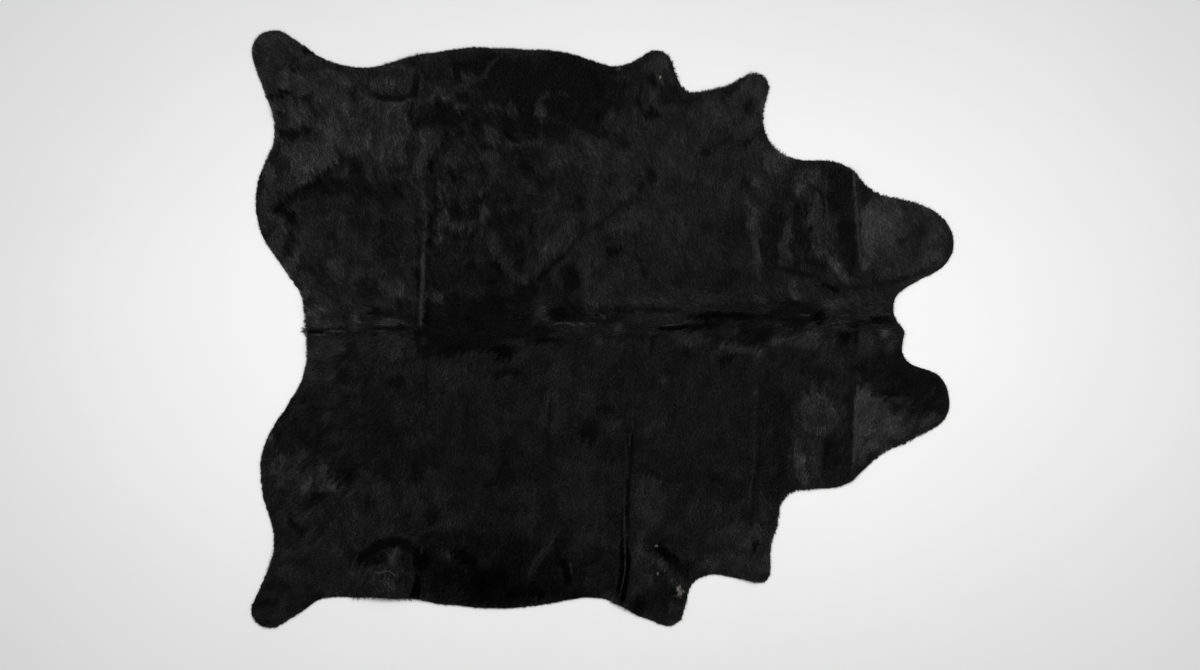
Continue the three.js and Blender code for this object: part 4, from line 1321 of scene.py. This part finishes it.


# Painted highlights: hairs that lie along a crest or a lip, or cling together, given a brighter tone than
# those beside them
paintedHighlightHairs = {
    "seed": 94,
    "closeness": 0.25, "fewest": 4,   # hairs to a square millimetre, and on any line
    "length": 15.0, "width": 1.5, "shares": (0.7, 1.3), "crown": 0.4,
    "splay": 8.0,
    "single": 0.3,
    "lift": 0.8,                      # over the hair that they lie on
    "lines": [
        # stops, width, path
        (1.2, 4, [(-872, -16), (-845, -17), (-830, -18)]), (1.3, 4, [(-826, -6), (-800, -6), (-778, -5)]),
        (1.0, 7, [(-545, 14), (-543, 52)]), (1.0, 8, [(-545, 66), (-543, 105)]),
        (0.9, 5, [(-541, 108), (-540, 144)]), (1.3, 7, [(-539, 160), (-540, 200), (-538, 226)]),
        (0.8, 5, [(-537, 242), (-535, 292)]), (0.8, 5, [(-531, 308), (-530, 345)]),
        (1.3, 4, [(-146, 15), (-122, 20)]), (1.3, 4, [(-122, 20), (-100, 19)]),
        (1.7, 4, [(-102, 18), (-84, 12)]), (1.6, 4, [(-74, 20), (-60, 14)]), (1.1, 4, [(-46, 19), (-26, 17)]),
        (1.0, 3, [(-12, 48), (6, 38)]), (0.9, 3, [(-8, 40), (8, 32)]), (0.8, 3, [(-30, 36), (-8, 33)]),
        (0.9, 4, [(178, 11), (215, 13), (240, 18), (262, 27)]), (1.0, 4, [(592, 42), (616, 42)]),
        (1.0, 3, [(680, 16), (705, 20), (735, 23)]), (1.0, 3, [(688, 5), (728, 10)]),
        (0.9, 3, [(698, 30), (735, 22)]), (0.9, 4, [(712, 42), (736, 41)]), (1.1, 3, [(828, 47), (862, 46)]),
        (0.9, 3, [(828, 84), (858, 81)]), (0.9, 3, [(784, 64), (802, 61)]),
        (1.7, 4, [(-682, -728), (-660, -727), (-648, -723), (-636, -724), (-628, -730), (-621, -737)]),
        (0.7, 3, [(-752, -712), (-745, -696), (-735, -678)]), (0.3, 3, [(91, -196), (90, -250), (88, -292)]),
        (0.7, 3, [(81, -308), (79, -352)]), (0.4, 3, [(69, -342), (68, -380)]),
        (0.4, 3, [(65, -470), (63, -560)]),
        (0.7, 4, [(64, -560), (63, -620), (66, -680), (65, -720), (59, -760), (52, -800)]),
        (1.4, 5, [(749, 474), (753, 430)]), (1.15, 4, [(754, 430), (760, 340), (765, 270), (769, 200)]),
        (1.5, 7, [(764, -168), (760, -230), (756, -300), (750, -395)]), (1.2, 8, [(426, 384), (446, 364)]),
        (1.3, 7, [(450, 362), (457, 344)]), (1.2, 7, [(462, 256), (466, 214)]),
        (0.9, 6, [(460, 214), (464, 158)]), (0.4, 7, [(-305, 822), (-340, 790), (-352, 762), (-372, 748)]),
        (0.6, 3, [(440, -596), (470, -590), (505, -592)]),
        (0.4, 5, [(-132, -604), (-160, -648), (-178, -668)]), (0.5, 4, [(-186, -668), (-205, -700)]),
        (0.4, 4, [(-200, -690), (-222, -740)]), (0.8, 4, [(-98, -700), (-94, -735)]),
    ],
}


def makePaintedHighlightHairs():
    rng = np.random.default_rng(paintedHighlightHairs["seed"])
    places, headings, tones = [], [], []
    for stops, width, path in paintedHighlightHairs["lines"]:
        path = np.array(path, float)
        steps = np.diff(path, axis=0)
        runs = np.hypot(*steps.T)
        ends = np.cumsum(runs)
        count = max(paintedHighlightHairs["fewest"], int(ends[-1] * width * paintedHighlightHairs["closeness"]))
        gone = rng.uniform(0.0, ends[-1], count)
        leg = np.searchsorted(ends, gone).clip(0, len(steps) - 1)
        share = 1 - (ends[leg] - gone) / runs[leg]
        aim = steps[leg] / runs[leg][:, None]
        aside = np.c_[-aim[:, 1], aim[:, 0]] * (width / 2 * rng.uniform(-1.0, 1.0, count))[:, None]
        places.append(path[leg] + steps[leg] * share[:, None] + aside - aim * paintedHighlightHairs["length"] / 2)
        headings.append(np.arctan2(aim[:, 1], aim[:, 0]))
        # painted highlight: each hair takes its line's brighter tone
        tones.append(stops * paintedLightForm["gain"] + rng.normal(0.0, paintedHighlightHairs["single"], count))
    x, y = np.vstack(places).T
    count = len(x)
    turn = np.concatenate(headings) - np.arctan2(sample(layY, x, y), sample(layX, x, y))
    turn = turn + np.radians(rng.normal(0.0, paintedHighlightHairs["splay"], count))
    length = paintedHighlightHairs["length"] * rng.uniform(*paintedHighlightHairs["shares"], count)
    width = paintedHighlightHairs["width"] * rng.uniform(*paintedHighlightHairs["shares"], count)
    locks = layLocks(x, y, turn, length, width, np.zeros(count), rng, coat["lift"])
    for place in locks[1:3]:
        place[:, 2] += paintedHighlightHairs["lift"]
    tone = np.repeat(np.concatenate(tones)[:, None], lockCorners, axis=1)
    values = {"paintedLightAndTone": tone, "whiteHair": np.zeros(tone.shape)}
    return meshOfLocks("paintedHighlightHairs", *locks, np.full(count, paintedHighlightHairs["crown"]), values)


coatPieces = makeCoat() + [makeFuzz(), makeWhiteHairs(), makePaintedHighlightHairs()]
coatFaces = sum(len(piece.data.polygons) for piece in coatPieces)
print("coat made:", coatFaces, "faces in", len(coatPieces), "pieces")

# Black cow hair, brushed flat: nearly no colour, so the eye reads it by its dull gloss
# and by how the hair leans, painted into its colour as sheen and shade
hairLook = {
    "black": "#202020",
    "white": "#b9b5ac",
    "rootShade": 0.6,        # how bright the hair still is down at the skin
    "roughness": 0.52, "roughnessSwing": 0.07,
    "ior": 1.55,             # keratin
    "specularLevel": 0.007,  # the hairs shade each other, so little of their gloss comes out
    "strand": 4.0,           # real hairs are 0.08 mm: drawn as coarse as a pixel needs
    "strandDetail": 3.0, "strandFineness": 0.6,
    "strandRange": (0.3, 0.7), "strandStops": 0.35,   # what of the noise counts, and what it adds or takes
}


def makeHairMaterial(name, shade):
    hair = newMaterial(name)
    place = addNode(hair, "ShaderNodeTexCoord")
    strands = addNode(hair, "ShaderNodeTexNoise", {
        "Vector": place.outputs["Object"], "Scale": 1 / (hairLook["strand"] * mm),
        "Detail": hairLook["strandDetail"], "Roughness": hairLook["strandFineness"]})
    faintest, strongest = hairLook["strandRange"]
    strand = {"Value": strands.outputs["Fac"], "From Min": faintest, "From Max": strongest}
    swing = hairLook["strandStops"]
    uneven = addNode(hair, "ShaderNodeMapRange", {**strand, "To Min": -swing, "To Max": swing})
    rough, swing = hairLook["roughness"], hairLook["roughnessSwing"]
    gloss = addNode(hair, "ShaderNodeMapRange", {**strand, "To Min": rough - swing, "To Max": rough + swing})
    # the painted light and tone is in stops, so it counts as a power of two
    paintedLightAndTone = addNode(hair, "ShaderNodeAttribute", attribute_name="paintedLightAndTone")
    stops = addNode(hair, "ShaderNodeMath", {
        0: paintedLightAndTone.outputs["Fac"], 1: uneven.outputs["Result"]}, operation="ADD")
    gain = addNode(hair, "ShaderNodeMath", {0: 2.0, 1: stops.outputs["Value"]}, operation="POWER")
    black = [c * shade for c in linear(hairLook["black"])[:3]]
    colour = addNode(hair, "ShaderNodeVectorMath", {
        0: black, "Scale": gain.outputs["Value"]}, operation="SCALE")
    white = addNode(hair, "ShaderNodeAttribute", attribute_name="whiteHair")
    mixed = addNode(hair, "ShaderNodeMix", {
        "Factor": white.outputs["Fac"], "A": colour.outputs["Vector"], "B": linear(hairLook["white"])},
        data_type="RGBA")
    shader = addNode(hair, "ShaderNodeBsdfPrincipled", {
        "Base Color": mixed.outputs["Result"], "Roughness": gloss.outputs["Result"],
        "IOR": hairLook["ior"], "Specular IOR Level": hairLook["specularLevel"]})
    return finishMaterial(hair, shader)


# Suede: the flesh side, split and buffed, dull with a soft short nap
suedeLook = {
    "colours": ("#4c4741", "#6e675e"), "spot": 6.0, "detail": 5.0, "fineness": 0.65,
    "bump": 0.4, "bumpHeight": 0.6, "roughness": 0.95, "specularLevel": 0.2, "sheen": 0.3,
}
# Cut skin: dyed through, fibrous where the knife went
cutLook = {
    "colours": ("#141312", "#2a2725"), "spot": 5.0, "detail": 4.0, "fineness": 0.5,
    "bump": 0.5, "bumpHeight": 0.4, "roughness": 0.85, "specularLevel": 0.15, "sheen": 0.0,
}
leatherIor, sheenRoughness = 1.5, 0.5


def makeLeatherMaterial(name, look):
    leather = newMaterial(name)
    height, colour = mottled(leather, look)
    bump = addNode(leather, "ShaderNodeBump", {
        "Height": height, "Strength": look["bump"], "Distance": look["bumpHeight"] * mm})
    shader = addNode(leather, "ShaderNodeBsdfPrincipled", {
        "Base Color": colour, "Normal": bump.outputs["Normal"], "Roughness": look["roughness"],
        "IOR": leatherIor, "Specular IOR Level": look["specularLevel"],
        "Sheen Weight": look["sheen"], "Sheen Roughness": sheenRoughness})
    return finishMaterial(leather, shader)


brushedHair = makeHairMaterial("brushedBlackHair", 1.0)
# painted shade: the skin's hair side takes the hair's colour darkened to rootShade, as if shaded by the coat
shadedHairRoots = makeHairMaterial("shadedBlackHairRoots", hairLook["rootShade"])
cutLeather = makeLeatherMaterial("knifeCutLeather", cutLook)
suede = makeLeatherMaterial("buffedSuede", suedeLook)
for material in (shadedHairRoots, cutLeather, suede):
    cowhideSkin.data.materials.append(material)
for piece in coatPieces:
    piece.data.materials.append(brushedHair)
print("materials made")

for piece in [cowhideSkin] + coatPieces:
    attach(piece, "root")
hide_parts("hide")
